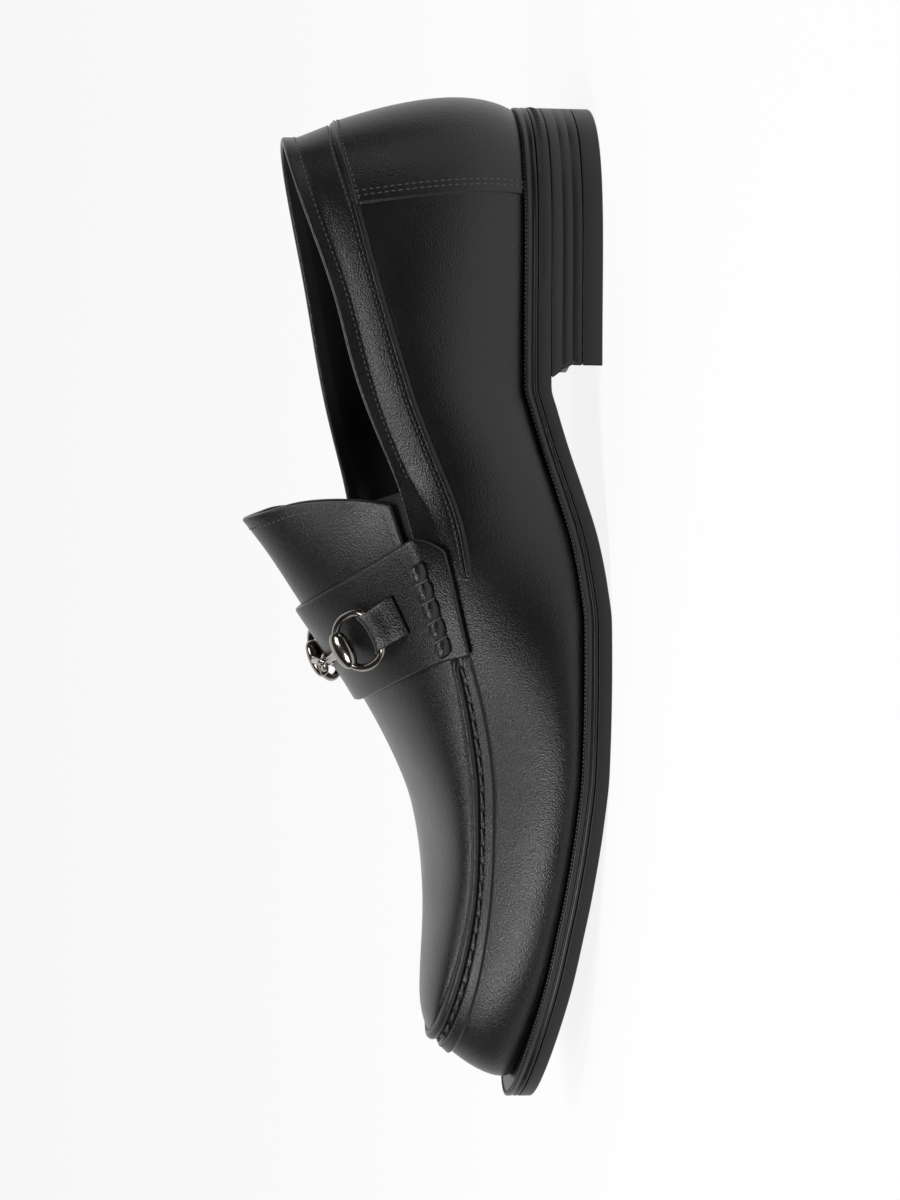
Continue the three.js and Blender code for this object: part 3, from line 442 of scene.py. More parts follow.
from_seam = rows - seam_run[:, None]
side = side_of[:, None]
counter = COUNTER_STEP * smooth_step((COUNTER_END - side) / 0.02 + 0.5) \
    * smooth_step((-from_seam - 0.2) / 0.7)
band = smooth_step((from_seam + RIDGE_WIDTH / 2) / 0.5) \
    * smooth_step((RIDGE_WIDTH / 2 - from_seam) / 0.9)
behind = smooth_step((COUNTER_END - side) / 0.05 + 0.5)
ridge = RIDGE_HEIGHT * band * (1 - 0.35 * behind) * smooth_step((RIDGE_END - side) / 0.03 + 0.5)
over_seam = 0.35 * smooth_step((from_seam - RIDGE_WIDTH / 2) / 0.4) \
    * np.exp(-np.clip(from_seam - RIDGE_WIDTH / 2, 0, None) / 5.0) * (side < RIDGE_END)
stitch_line = -0.28 * np.exp(-((from_seam - RIDGE_WIDTH / 2 - 0.25) / 0.45) ** 2) \
    * (side < RIDGE_END)
moc = smooth_step((side - MOC_START + 0.08) / 0.12)
past = (rows - fold_run[:, None]) / np.maximum(lip_run - fold_run, 1)[:, None]
flap = FLAP_HEIGHT * smooth_step((past + 0.02) / 0.05) * smooth_step((0.46 - past) / 0.06)
flap -= 0.22 * np.exp(-((past - 0.40) / 0.035) ** 2)
roll_middle = 0.80
roll_half = 0.19
roll_arc = np.sqrt(np.clip(1 - ((past - roll_middle) / roll_half) ** 2, 0, 1))
trough = 0.15 * smooth_step((past - 0.44) / 0.05)
height = counter + ridge + over_seam + stitch_line \
    + moc * (flap + trough * (past < 0.62) + ROLL_HEIGHT * roll_arc)
skin = outer + face_out * height[..., None]

# Rounded topline, then the lining down to the insole
lip_tangent = unit(outer[:, -1] - outer[:, -4])
rim_angles = np.linspace(0, math.pi, 9)[1:-1]
round_up = np.where(side_of < 6.3, 0.75, 0.1)[:, None]
rim = np.stack([outer[:, -1] - face_out[:, -1] * (UPPER_THICKNESS / 2) * (1 - math.cos(a))
                + lip_tangent * round_up * math.sin(a) for a in rim_angles], 1)
inner_levels = [2.0, 1.85, 1.6, 1.3, 1.05, 0.92, 0.8, 0.68, 0.56, 0.44, 0.32, 0.2, 0.1, 0.0]
inner_rows = []
for level in inner_levels:
    p = wall(around, np.full(len(around), level))
    n = -normal_of(wall, around, np.full(len(around), min(level, 1.97)), 0.03, 0.03)
    if level >= 1.3:
        n = face_out[:, -1]
    q = p - n * UPPER_THICKNESS
    if level == 0.0:
        foot = outline(around, welt_show(around) + UPPER_THICKNESS)
        q = stack(foot[:, 0], foot[:, 1], seat(foot[:, 0]))
    inner_rows.append(q)
inside = np.stack(inner_rows, 1)
section = np.concatenate([skin, rim, inside], axis=1)
faces = quads(len(around), section.shape[1], close_rows=True, close_columns=True)
upper = make_mesh("upper_wall", section, faces, [calf, lining])
first_inside = skin.shape[1] + rim.shape[1]
lining_points = {tuple(np.round(p, 5)) for p in place(section[:, first_inside:])}
for polygon in upper.data.polygons:
    corners = [tuple(np.round(upper.data.vertices[v].co, 5)) for v in polygon.vertices]
    if all(c in lining_points for c in corners):
        polygon.material_index = 1
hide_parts("upper")
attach(upper, "root")

# The apron over the toes and instep: one piece of the same calf, sewn inside the rolled seam
apron_along = np.concatenate([np.linspace(6.62, 11.5, 92), 12 - 0.5 * np.linspace(1, 0, 26)[1:] ** 2])
apron_across = np.concatenate([[-0.25, -0.1], np.linspace(0, 1, 71), [1.1, 1.25]])
top = over_instep(apron_along[:, None], apron_across[None, :], -0.05)
tuck = np.where((apron_across < 0) | (apron_across > 1), -0.6, 0.0)
top += crown_normal(apron_along[:, None], apron_across[None, :]) * tuck[None, :, None]
under = over_instep(apron_along[:, None], apron_across[None, :], -UPPER_THICKNESS)
apron_points = np.concatenate([top.reshape(-1, 3), under.reshape(-1, 3)])
nu, ns = len(apron_along), len(apron_across)
grid = np.arange(nu * ns).reshape(nu, ns)
ring = border_of(grid)
around_edge = np.stack([ring, np.roll(ring, -1), np.roll(ring, -1) + nu * ns, ring + nu * ns], -1)
apron = make_mesh("apron", apron_points, np.concatenate([
    quads(nu, ns), quads(nu, ns, start=nu * ns)[:, ::-1], around_edge]), [calf])
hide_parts("upper")
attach(apron, "root")


# Waxed black thread: every seam's stitches are small spindles set along the seam's line
thread, thread_nodes, thread_shader, thread_at = node_material("thread")
thread_shader.inputs["Base Color"].default_value = (0.06, 0.058, 0.055, 1)
thread_shader.inputs["Roughness"].default_value = 0.5
twist = pattern(thread_nodes, "Noise", thread_at, 3000)
relief(thread_nodes, twist.outputs["Fac"], 0.3, 0.0001, thread_shader.inputs["Normal"])


STITCH_JITTER = 0.06


def stitch_tree():
    """Spindles at even steps along lines, turned with the line and its outward direction."""
    tree = bpy.data.node_groups.new("stitches", "GeometryNodeTree")
    face = tree.interface
    face.new_socket("Geometry", in_out="INPUT", socket_type="NodeSocketGeometry")
    for label in ("Pitch", "Length", "Width", "Height", "Slant"):
        face.new_socket(label, in_out="INPUT", socket_type="NodeSocketFloat")
    face.new_socket("Material", in_out="INPUT", socket_type="NodeSocketMaterial")
    face.new_socket("Geometry", in_out="OUTPUT", socket_type="NodeSocketGeometry")

    def node(kind, **settings):
        new = tree.nodes.new(kind)
        for setting, value in settings.items():
            setattr(new, setting, value)
        return new

    given = node("NodeGroupInput")
    result = node("NodeGroupOutput")
    curve = node("GeometryNodeMeshToCurve")
    steps = node("GeometryNodeResampleCurve", mode="LENGTH")
    tangent = node("GeometryNodeInputTangent")
    out = node("GeometryNodeInputNamedAttribute", data_type="FLOAT_VECTOR")
    out.inputs["Name"].default_value = "out"
    lie = node("FunctionNodeAlignRotationToVector", axis="X")
    face_up = node("FunctionNodeAlignRotationToVector", axis="Z", pivot_axis="X")
    random = node("FunctionNodeRandomValue", data_type="FLOAT")
    random.inputs[2].default_value = -STITCH_JITTER
    random.inputs[3].default_value = STITCH_JITTER
    random.inputs["Seed"].default_value = 7
    lean = node("ShaderNodeMath")
    angle = node("ShaderNodeCombineXYZ")
    to_rotation = node("FunctionNodeEulerToRotation")
    turn = node("FunctionNodeRotateRotation", rotation_space="LOCAL")
    ball = node("GeometryNodeMeshUVSphere")
    ball.inputs["Segments"].default_value = 6
    ball.inputs["Rings"].default_value = 5
    ball.inputs["Radius"].default_value = 0.5
    sizes = node("ShaderNodeCombineXYZ")
    shape = node("GeometryNodeTransform")
    lay_on = node("GeometryNodeInstanceOnPoints")
    real = node("GeometryNodeRealizeInstances")
    paint = node("GeometryNodeSetMaterial")
    for one, output, two, socket in (
            (given, "Geometry", curve, "Mesh"),
            (curve, "Curve", steps, "Curve"),
            (given, "Pitch", steps, "Length"),
            (tangent, "Tangent", lie, "Vector"),
            (lie, "Rotation", face_up, "Rotation"),
            (out, "Attribute", face_up, "Vector"),
            (random, 1, lean, 0),
            (given, "Slant", lean, 1),
            (lean, 0, angle, "Z"),
            (angle, 0, to_rotation, 0),
            (face_up, "Rotation", turn, "Rotation"),
            (to_rotation, 0, turn, "Rotate By"),
            (given, "Length", sizes, "X"),
            (given, "Width", sizes, "Y"),
            (given, "Height", sizes, "Z"),
            (ball, "Mesh", shape, "Geometry"),
            (sizes, 0, shape, "Scale"),
            (steps, "Curve", lay_on, "Points"),
            (shape, "Geometry", lay_on, "Instance"),
            (turn, "Rotation", lay_on, "Rotation"),
            (lay_on, "Instances", real, "Geometry"),
            (real, "Geometry", paint, "Geometry"),
            (given, "Material", paint, "Material"),
            (paint, "Geometry", result, "Geometry")):
        tree.links.new(one.outputs[output], two.inputs[socket])
    return tree


stitch_group = stitch_tree()


def sewn(name, node, lines, pitch, length, width, height, slant=0.0, material=None):
    """Stitches along lines of (points, outward directions) in millimetres."""
    points = []
    outs = []
    edges = []
    for line, directions in lines:
        first = len(points)
        points += place(line).tolist()
        outs += np.asarray(directions, float).reshape(-1, 3).tolist()
        edges += [(first + k, first + k + 1) for k in range(len(line) - 1)]
    mesh = bpy.data.meshes.new(name)
    mesh.from_pydata(points, edges, [])
    mesh.attributes.new("out", "FLOAT_VECTOR", "POINT").data.foreach_set(
        "vector", np.array(outs).ravel())
    piece = bpy.data.objects.new(name, mesh)
    bpy.context.scene.collection.objects.link(piece)
    modifier = piece.modifiers.new("stitches", "NODES")
    modifier.node_group = stitch_group
    values = {"Pitch": pitch, "Length": length, "Width": width, "Height": height}
    for item in stitch_group.interface.items_tree:
        if item.in_out == "INPUT" and item.name in values:
            modifier[item.identifier] = values[item.name] / 1000
        if item.in_out == "INPUT" and item.name == "Slant":
            modifier[item.identifier] = slant
        if item.in_out == "INPUT" and item.name == "Material":
            modifier[item.identifier] = material or thread
    bpy.context.view_layer.update()
    graph = bpy.context.evaluated_depsgraph_get()
    baked = bpy.data.meshes.new_from_object(piece.evaluated_get(graph))
    piece.modifiers.clear()
    piece.data = baked
    for polygon in baked.polygons:
        polygon.use_smooth = True
    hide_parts(node)
    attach(piece, "root")
    return piece


def skin_line(columns, base, offset, lift):
    """A line over the upper's skin, one point for each column, at its run plus the offset."""
    points = []
    directions = []
    for i in columns:
        at = base[i] + offset
        points.append([np.interp(at, rows[i], skin[i, :, k]) for k in range(3)])
        directions.append([np.interp(at, rows[i], face_out[i, :, k]) for k in range(3)])
    directions = unit(np.array(directions))
    return np.array(points) + directions * lift, directions


def columns_between(low, high, inner):
    """The upper's columns between two ribs, on the outer or the inner side."""
    return np.where((side_of >= low) & (side_of <= high)
                    & ((around > TOE) if inner else (around <= TOE)))[0]


COUNTER_ROWS = (0.075, 0.125)
moc_lines = []
edge_lines = []
ridge_lines = []
counter_lines = []
back_lines = []
band_width = lip_run - fold_run
gap_run = fold_run + 0.53 * band_width
for inner in (False, True):
    seam_columns = columns_between(MOC_START + 0.06, TOE, inner)
    moc_lines.append(skin_line(seam_columns, gap_run, 0.0, 0.25))
    edge_lines.append(skin_line(seam_columns, fold_run + 0.34 * band_width, 0.0, 0.0))
    edge_lines.append(skin_line(seam_columns, lip_run, -0.15, 0.1))
    after = columns_between(COUNTER_END, RIDGE_END - 0.05, inner)
    ridge_lines.append(skin_line(after, seam_run, RIDGE_WIDTH / 2 + 0.45, 0.02))
    heelward = columns_between(0.0, COUNTER_END, inner)
    for offset in (-RIDGE_WIDTH / 2 - 0.7, RIDGE_WIDTH / 2 + 0.6):
        back_lines.append(skin_line(heelward, seam_run, offset, 0.02))
    for back_off in COUNTER_ROWS:
        place_u = COUNTER_END - back_off if not inner else RIBS - COUNTER_END + back_off
        column = int(np.argmin(np.abs(around - place_u)))
        heights = np.linspace(1.0, seam_run[column] - RIDGE_WIDTH / 2 - 0.8, 60)
        counter_lines.append((np.array([[np.interp(h, rows[column], skin[column, :, k])
                                         for k in range(3)] for h in heights])
                              + face_out[column, 20] * 0.03,
                              np.repeat(face_out[column, 20][None], 60, 0)))
sewn("moccasin_stitches", "upper", moc_lines,
     pitch=5.2, length=4.2, width=0.95, height=0.9, slant=0.10)
sewn("moccasin_edge_stitches", "upper", edge_lines,
     pitch=1.5, length=1.05, width=0.42, height=0.34)
sewn("collar_seam_stitches", "upper", ridge_lines + back_lines,
     pitch=1.9, length=1.5, width=0.5, height=0.42)
sewn("counter_stitches", "upper", counter_lines,
     pitch=2.1, length=1.6, width=0.5, height=0.4)
band_columns = columns_between(0.0, 5.0, False), columns_between(0.0, 5.0, True)
sewn("topline_stitches", "upper",
     [skin_line(c, fold_run, 0.9, 0.02) for c in band_columns],
     pitch=1.9, length=1.45, width=0.42, height=0.32)


# The tongue: calf with a turned and stitched edge, standing up behind the strap
TONGUE_END = 4.94
THROAT = 6.6667
TONGUE_THICKNESS = 2.0
TONGUE_CORNER = 0.8


def closed_sheet(name, base, normals, thickness, bevel, materials):
    """A sheet of that thickness below its outer face, its edge rounded over."""
    nr, nc = base.shape[:2]
    grid = np.arange(nr * nc).reshape(nr, nc)
    ring = border_of(grid)
    flat = base.reshape(-1, 3)
    n = normals.reshape(-1, 3)
    edge = flat[ring]
    step = unit(np.roll(edge, -1, 0) - np.roll(edge, 1, 0))
    away = unit(np.cross(step, n[ring]))
    if ((edge - flat.mean(0)) * away).sum(-1).mean() < 0:
        away = -away
    points = [flat]
    faces = [quads(nr, nc)]
    last = ring
    total = len(flat)
    for a in np.linspace(0, math.pi, 8)[1:-1]:
        p = edge + away * bevel * math.sin(a) - n[ring] * (thickness / 2) * (1 - math.cos(a))
        ids = np.arange(total, total + len(ring))
        points.append(p)
        faces.append(np.stack([last, np.roll(last, -1), np.roll(ids, -1), ids], -1))
        last = ids
        total += len(ring)
    points.append(flat - n * thickness)
    ids = ring + total
    faces.append(np.stack([last, np.roll(last, -1), np.roll(ids, -1), ids], -1))
    faces.append(quads(nr, nc, start=total)[:, ::-1])
    return make_mesh(name, np.concatenate(points), np.concatenate(faces), materials)


def lay(name, u, s, off, thickness, bevel, materials):
    """A sheet laid over the instep at places u and s, its outer face off the surface."""
    return closed_sheet(name, over_instep(u, s, off), crown_normal(u, s), thickness, bevel,
                        materials)


back = np.linspace(0, 1, 60)[:, None]
across = np.linspace(0.03, 0.97, 90)[None, :]
edge_share = np.abs(2 * across - 1)
corner = TONGUE_CORNER * (1 - np.sqrt(1 - np.clip((edge_share - 0.5) / 0.5, 0, 1) ** 2))
tongue_u = THROAT + (TONGUE_END + corner - THROAT) * (1 - back)
tongue_s = np.broadcast_to(across, tongue_u.shape)
tongue = lay("tongue_leather", tongue_u, tongue_s, 0.0, TONGUE_THICKNESS, 0.7, [calf])
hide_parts("tongue")
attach(tongue, "root")
along_edge = np.linspace(0.03, 0.97, 240)
edge_bend = np.clip((np.abs(2 * along_edge - 1) - 0.5) / 0.5, 0, 1)
inside_s = 0.5 + (along_edge - 0.5) * 0.965
edge_u = TONGUE_END + 0.09 + TONGUE_CORNER * (1 - np.sqrt(1 - edge_bend ** 2))
down_u = np.linspace(edge_u[0], 5.98, 30)[::-1]
line_u = np.concatenate([down_u[:-1], edge_u, down_u[::-1][1:]])
line_s = np.concatenate([np.full(29, inside_s[0]), inside_s, np.full(29, inside_s[-1])])
sewn("tongue_edge_stitches", "tongue",
     [(over_instep(line_u, line_s, 0.05), crown_normal(line_u, line_s))],
     pitch=2.0, length=1.55, width=0.45, height=0.36)


# Elastic gores: woven black elastic sewn inside the quarter and under the tongue's side
elastic, elastic_nodes, elastic_shader, elastic_at = node_material("elastic")
elastic_shader.inputs["Base Color"].default_value = (0.010, 0.010, 0.011, 1)
elastic_shader.inputs["Roughness"].default_value = 0.8
ribbing = pattern(elastic_nodes, "Wave", elastic_at, 260)
ribbing.bands_direction = "X"
ribbing.inputs["Distortion"].default_value = 0.4
relief(elastic_nodes, ribbing.outputs["Fac"], 0.6, 0.0003, elastic_shader.inputs["Normal"])
for name in ("gore_outer", "gore_inner"):
    u = np.linspace(TONGUE_END + 0.26, THROAT - 0.06, 40)[:, None]
    s = np.linspace(-0.4, 0.1, 22)[None, :]
    u, s = np.broadcast_arrays(u, s if name == "gore_outer" else 1 - s)
    gore = lay(name + "_elastic", u, s, -2.7, 1.2, 0.3, [elastic])
    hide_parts(name)
    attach(gore, "root")

# The saddle strap: calf over a firm backing, laid over the instep with turned edges
STRAP_BACK = 6.0
STRAP_FRONT = 7.09
STRAP_FLARE = 0.1
STRAP_CHAMFER = 0.16
STRAP_THICKNESS = 2.2
STRAP_TOP = GAP + STRAP_THICKNESS
t = np.linspace(0, 1, 44)[:, None]
s = np.concatenate([np.linspace(-1, 0, 16)[:-1], np.linspace(0, 1, 110), np.linspace(1, 2, 16)[1:]])
s = s[None, :]
beyond = np.clip(np.abs(2 * s - 1) - 1, 0, None) / 2
u = STRAP_BACK + STRAP_CHAMFER * beyond ** 2 * (1 - t) + (STRAP_FRONT - STRAP_BACK) * t \
    + STRAP_FLARE * np.minimum(1, np.abs(2 * s - 1)) ** 4 * t
s = np.broadcast_to(s, u.shape)
strap = lay("strap_leather", u, s, STRAP_TOP, STRAP_THICKNESS, 0.8, [calf])
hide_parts("strap")
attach(strap, "root")

# Rolled strap ends, gathered into five lumps by thick hand stitches
def tube(name, rings, materials, closed):
    """A closed skin through rings of points."""
    rings = np.asarray(rings)
    n, m = rings.shape[:2]
    points = rings.reshape(-1, 3)
    faces = quads(n, m, close_rows=closed, close_columns=True).tolist()
    if not closed:
        points = np.concatenate([points, rings[:1].mean(1), rings[-1:].mean(1)])
        faces += [((j + 1) % m, j, n * m) for j in range(m)]
        faces += [((n - 1) * m + j, (n - 1) * m + (j + 1) % m, n * m + 1) for j in range(m)]
    return make_mesh(name, points, faces, materials)


ROLL_RADIUS = 2.9
ROLL_AT = 0.001
ROLL_START = STRAP_BACK + 0.24
ROLL_STOP = STRAP_FRONT + STRAP_FLARE - 0.02
LUMPS = 5
for name in ("roll_outer", "roll_inner"):
    t = np.linspace(0, 1, 101)
    u = ROLL_START + (ROLL_STOP - ROLL_START) * t
    s = np.full(len(t), ROLL_AT if name == "roll_outer" else 1 - ROLL_AT)
    swell = 0.68 + 0.32 * np.abs(np.sin(math.pi * LUMPS * t)) ** 0.6
    swell *= smooth_step(t / 0.02) * smooth_step((1 - t) / 0.02) * 0.6 + 0.4
    n = crown_normal(u, s)
    side_step = unit(crown(u, s + 0.02) - crown(u, s - 0.02))
    foot = over_instep(u, s, STRAP_TOP - 0.1)
    angles = np.linspace(0, math.pi, 21)
    ring_points = (foot[:, None] + side_step[:, None] * (ROLL_RADIUS * swell[:, None, None])
                   * np.cos(angles)[None, :, None]
                   + n[:, None] * (ROLL_RADIUS * swell[:, None, None])
                   * np.sin(angles)[None, :, None])
    roll = tube(name + "_leather", ring_points, [calf], False)
    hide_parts(name)
    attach(roll, "root")
    wraps = []
    for k in range(1, LUMPS):
        i = int(round(100 * k / LUMPS))
        arc = np.linspace(0.05 * math.pi, 0.95 * math.pi, 24)[:, None]
        way = side_step[i] * np.cos(arc) + n[i] * np.sin(arc)
        wraps.append((foot[i] + way * (ROLL_RADIUS * 0.70), way))
    sewn(name + "_thread", "roll_" + name.split("_")[1], wraps,
         pitch=0.7, length=1.1, width=1.15, height=0.9)


# The snaffle: cast and plated gunmetal. Each half is a leaf hub, a tapered bar and an eye.
gunmetal, gunmetal_nodes, gunmetal_shader, gunmetal_at = node_material("gunmetal")
gunmetal_shader.inputs["Metallic"].default_value = 1.0
gunmetal_shader.inputs["Base Color"].default_value = (0.30, 0.275, 0.25, 1)
haze = pattern(gunmetal_nodes, "Noise", gunmetal_at, 420)
uneven_gloss(gunmetal_nodes, gunmetal_shader, haze.outputs["Fac"], 0.10, 0.22)
SNAFFLE_AT = 6.57
RING_ACROSS = 0.235
JOINT_ACROSS = 0.46
SLIT_ACROSS = 0.085
RING_LENGTH = 18.8
RING_WIDTH = 20.2
RING_WIRE = 2.3
HUB_LENGTH = 12.0
HUB_WIDTH = 7.6
HUB_HEIGHT = 5.0
HUB_INWARD = 1.6
EYE_DIAMETER = 5.6
EYE_WIRE = 1.6
BIT_LIFT = 0.6
RING_SQUARE = 0.8
KEEPER_WIDTH = 11.5
KEEPER_THICKNESS = 1.0
ring_x = (RING_LENGTH - RING_WIRE) / 2
ring_y = (RING_WIDTH - RING_WIRE) / 2


def strap_frame(s, off):
    u = np.array(SNAFFLE_AT)
    s = np.array(s)
    n = crown_normal(u, s)
    up = unit(crown(u, s + (0.02 if s < 0.5 else -0.02)) - crown(u, s))
    up = unit(up + n * 0.07)
    along = unit(np.cross(up, n))
    if along[0] < 0:
        along = -along
    along = along + (np.array([1.0, 0, 0]) - along) * 0.15
    along = unit(along - up * (along @ up))
    out = unit(np.cross(along, up))
    if out @ n < 0:
        out = -out
    return over_instep(u, s, off), along, up, out


def in_frame(f, x, y, z):
    x, y, z = [np.asarray(a, float)[..., None] for a in (x, y, z)]
    return f[0] + f[1] * x + f[2] * y + f[3] * z


def ring_at(angle):
    c = np.cos(angle)
    s = np.sin(angle)
    power = np.where(s > 0, 1.0, 2 / (2 + RING_SQUARE))
    return np.sign(c) * ring_x * np.abs(c) ** power, np.sign(s) * ring_y * np.abs(s) ** power


def joined(name, parts):
    b = bmesh.new()
    for part in parts:
        b.from_mesh(part.data)
    mesh = bpy.data.meshes.new(name)
    b.to_mesh(mesh)
    b.free()
    for material in parts[0].data.materials:
        mesh.materials.append(material)
    for part in parts:
        bpy.data.objects.remove(part)
    piece = bpy.data.objects.new(name, mesh)
    bpy.context.scene.collection.objects.link(piece)
    return piece


joint_point = over_instep(SNAFFLE_AT, JOINT_ACROSS, STRAP_TOP + EYE_DIAMETER / 2 + BIT_LIFT)
for side_name in ("outer", "inner"):
    s0 = RING_ACROSS if side_name == "outer" else 1 - RING_ACROSS
    f = strap_frame(s0, STRAP_TOP + HUB_HEIGHT / 2 + BIT_LIFT)
    angle = 2 * math.pi * (np.arange(120) + 0.5) / 120
    x, y = ring_at(angle)
    x0, y0 = ring_at(angle - 0.02)
    x1, y1 = ring_at(angle + 0.02)
    d = np.stack([y1 - y0, x0 - x1], -1)
    d /= np.linalg.norm(d, axis=-1, keepdims=True)
    a = 2 * math.pi * np.arange(20) / 20
    r = RING_WIRE / 2
    rings = in_frame(f, x[:, None] + d[:, :1] * r * np.cos(a), y[:, None] + d[:, 1:] * r * np.cos(a),
                     np.broadcast_to(r * np.sin(a), (120, 20)))
    wire = tube(f"ring_{side_name}_wire", rings, [gunmetal], True)
    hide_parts(f"ring_{side_name}")
    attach(wire, "root")

    # Leaf hub over the wire
    phi = np.linspace(0.02, math.pi - 0.02, 41)
    long = HUB_LENGTH / 2 * np.cos(phi)
    fat = np.maximum(0.12, np.sin(phi) ** 0.75)
    a = 2 * math.pi * np.arange(28) / 28
    hub = tube("hub", in_frame(f, np.broadcast_to(long[:, None], (41, 28)),
                               ring_y - HUB_INWARD + HUB_WIDTH / 2 * fat[:, None] * np.cos(a),
                               HUB_HEIGHT / 2 * fat[:, None] * np.sin(a)), [gunmetal], False)
    hub_point = in_frame(f, 0, ring_y, 0)
    pull = unit(hub_point - joint_point)
    eye_radius = (EYE_DIAMETER - EYE_WIRE) / 2
    centre = joint_point + pull * eye_radius / 2
    flat_way = unit(np.array([1.0, 0, 0]) - pull * pull[0])
    other = np.cross(pull, flat_way) if side_name == "outer" else flat_way
    start = centre + pull * eye_radius
    axis = unit(hub_point - start)
    bx = unit(np.cross([1.0, 0, 0], axis))
    by = np.cross(axis, bx)
    t = np.linspace(0, 1, 25)
    a = 2 * math.pi * np.arange(20) / 20
    radius = (2.0 + (3.6 - 2.0) * t * t) / 2
    rod = tube("rod", start + (hub_point - start) * t[:, None, None]
               + radius[:, None, None] * (bx * np.cos(a)[None, :, None]
                                          + by * np.sin(a)[None, :, None]),
               [gunmetal], False)
    t = 2 * math.pi * np.arange(40) / 40
    q = 2 * math.pi * np.arange(14) / 14
    out = pull * np.cos(t)[:, None] + other * np.sin(t)[:, None]
    c = unit(np.cross(pull, other))
    eye = tube("eye", centre + out[:, None] * (eye_radius + EYE_WIRE / 2 * np.cos(q))[None, :, None]
               + c * (EYE_WIRE / 2 * np.sin(q))[None, :, None], [gunmetal], True)
    bit = joined(f"bit_{side_name}_casting", [hub, rod, eye])
    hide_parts(f"bit_{side_name}")
    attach(bit, "root")

    # The keeper: a calf tab round the wire, down to its slit in the strap
    slit = SLIT_ACROSS if side_name == "outer" else 1 - SLIT_ACROSS
    wrap = RING_WIRE / 2 + 0.35 + KEEPER_THICKNESS
    way = crown(SNAFFLE_AT + 0.5, s0) - crown(SNAFFLE_AT - 0.5, s0)
    per_rib = f[1] @ way
    strips = []
    for x in np.linspace(-KEEPER_WIDTH / 2, KEEPER_WIDTH / 2, 25):
        low = -ring_y * (1 - abs(x / ring_x) ** (2 + RING_SQUARE)) ** (1 / (2 + RING_SQUARE))
        centre_wire = in_frame(f, x, low, 0)
        end = over_instep(SNAFFLE_AT + x / per_rib, slit, STRAP_TOP + 0.6)
        down = end - centre_wire
        down = unit(down - f[1] * (down @ f[1]))
        lift = np.cross(down, f[1])
        if lift @ f[3] < 0:
            lift = -lift
        loop = [end + lift * 0.5]
        loop += [end + (centre_wire + lift * wrap - end) * k for k in (0.35, 0.7)]
        for degrees in range(90, 281, 15):
            angle = math.radians(degrees)
            reach = wrap if degrees <= 180 else wrap - 0.4
            loop.append(centre_wire + down * wrap * math.cos(angle) + lift * reach * math.sin(angle))
        strips.append(loop)
    strips = np.array(strips)
    nr, nc = strips.shape[:2]
    e1 = np.gradient(strips, axis=0)
    e2 = np.gradient(strips, axis=1)
    n = unit(np.cross(e1, e2))
    if n[nr // 2, 1] @ f[3] < 0:
        n = -n
    keeper = closed_sheet(f"keeper_{side_name}_leather", strips, n, KEEPER_THICKNESS, 0.3, [calf])
    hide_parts(f"keeper_{side_name}")
    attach(keeper, "root")


# The sole: a black rubber outsole below a welt whose edge has a groove half way up
def polished_edge(name, colour, roughness, grain):
    """Finely speckled sole material with uneven polish."""
    material, tree, shader, at = node_material(name)
    shader.inputs["Base Color"].default_value = (*colour, 1)
    speck = pattern(tree, "Noise", at, 900, 3)
    broad = pattern(tree, "Noise", at, 60)
    relief(tree, speck.outputs["Fac"], grain, 0.0002, shader.inputs["Normal"])
    uneven_gloss(tree, shader, broad.outputs["Fac"], roughness - 0.06, roughness + 0.08)
    return material


sole_rubber = polished_edge("sole_rubber", (0.004, 0.004, 0.004), 0.42, 0.25)
welt_leather = polished_edge("welt_leather", (0.004, 0.004, 0.004), 0.36, 0.3)
LOOP = 420
CROSS = 12


def sole_layer(name, profile, bottom, top, material):
    """A layer over the whole outline. profile gives (inset, height share) round its edge."""
    half_count = LOOP // 2
    u = np.linspace(0, TOE, half_count + 1)
    loop_u = np.concatenate([u, RIBS - u[1:-1][::-1]])
    levels = []
    for inset, share in profile:
        p = outline(loop_u, inset(loop_u) if callable(inset) else np.full(len(loop_u), float(inset)))
        z = bottom(p[:, 0]) + (top(p[:, 0]) - bottom(p[:, 0])) * share
        levels.append(stack(p[:, 0], p[:, 1], z))
    n = len(loop_u)
    points = [np.concatenate(levels)]
    faces = [quads(len(levels), n, close_columns=True)]
    total = len(levels) * n
    for k, level in ((0, levels[0]), (len(levels) - 1, levels[-1])):
        share = profile[k][1]
        ids = np.empty((half_count + 1, CROSS + 1), int)
        extra = []
        for i in range(half_count + 1):
            a = i
            b = (n - i) % n if i < half_count else i
            ids[i, 0] = k * n + a
            ids[i, -1] = k * n + b
            for j in range(1, CROSS):
                if i in (0, half_count):
                    ids[i, j] = k * n + a
                    continue
                p = level[a] + (level[b] - level[a]) * j / CROSS
                z = bottom(p[0]) + (top(p[0]) - bottom(p[0])) * share
                extra.append((p[0], p[1], float(z)))
                ids[i, j] = total + len(extra) - 1
        points.append(np.array(extra))
        total += len(extra)
        cap = []
        for i in range(half_count):
            for j in range(CROSS):
                f = [ids[i, j], ids[i, j + 1], ids[i + 1, j + 1], ids[i + 1, j]]
                f = list(dict.fromkeys(f))
                if len(f) > 2:
                    cap.append(f)
        faces.append(cap)
    return make_mesh(name, np.concatenate(points), [f for group in faces for f in group], [material])


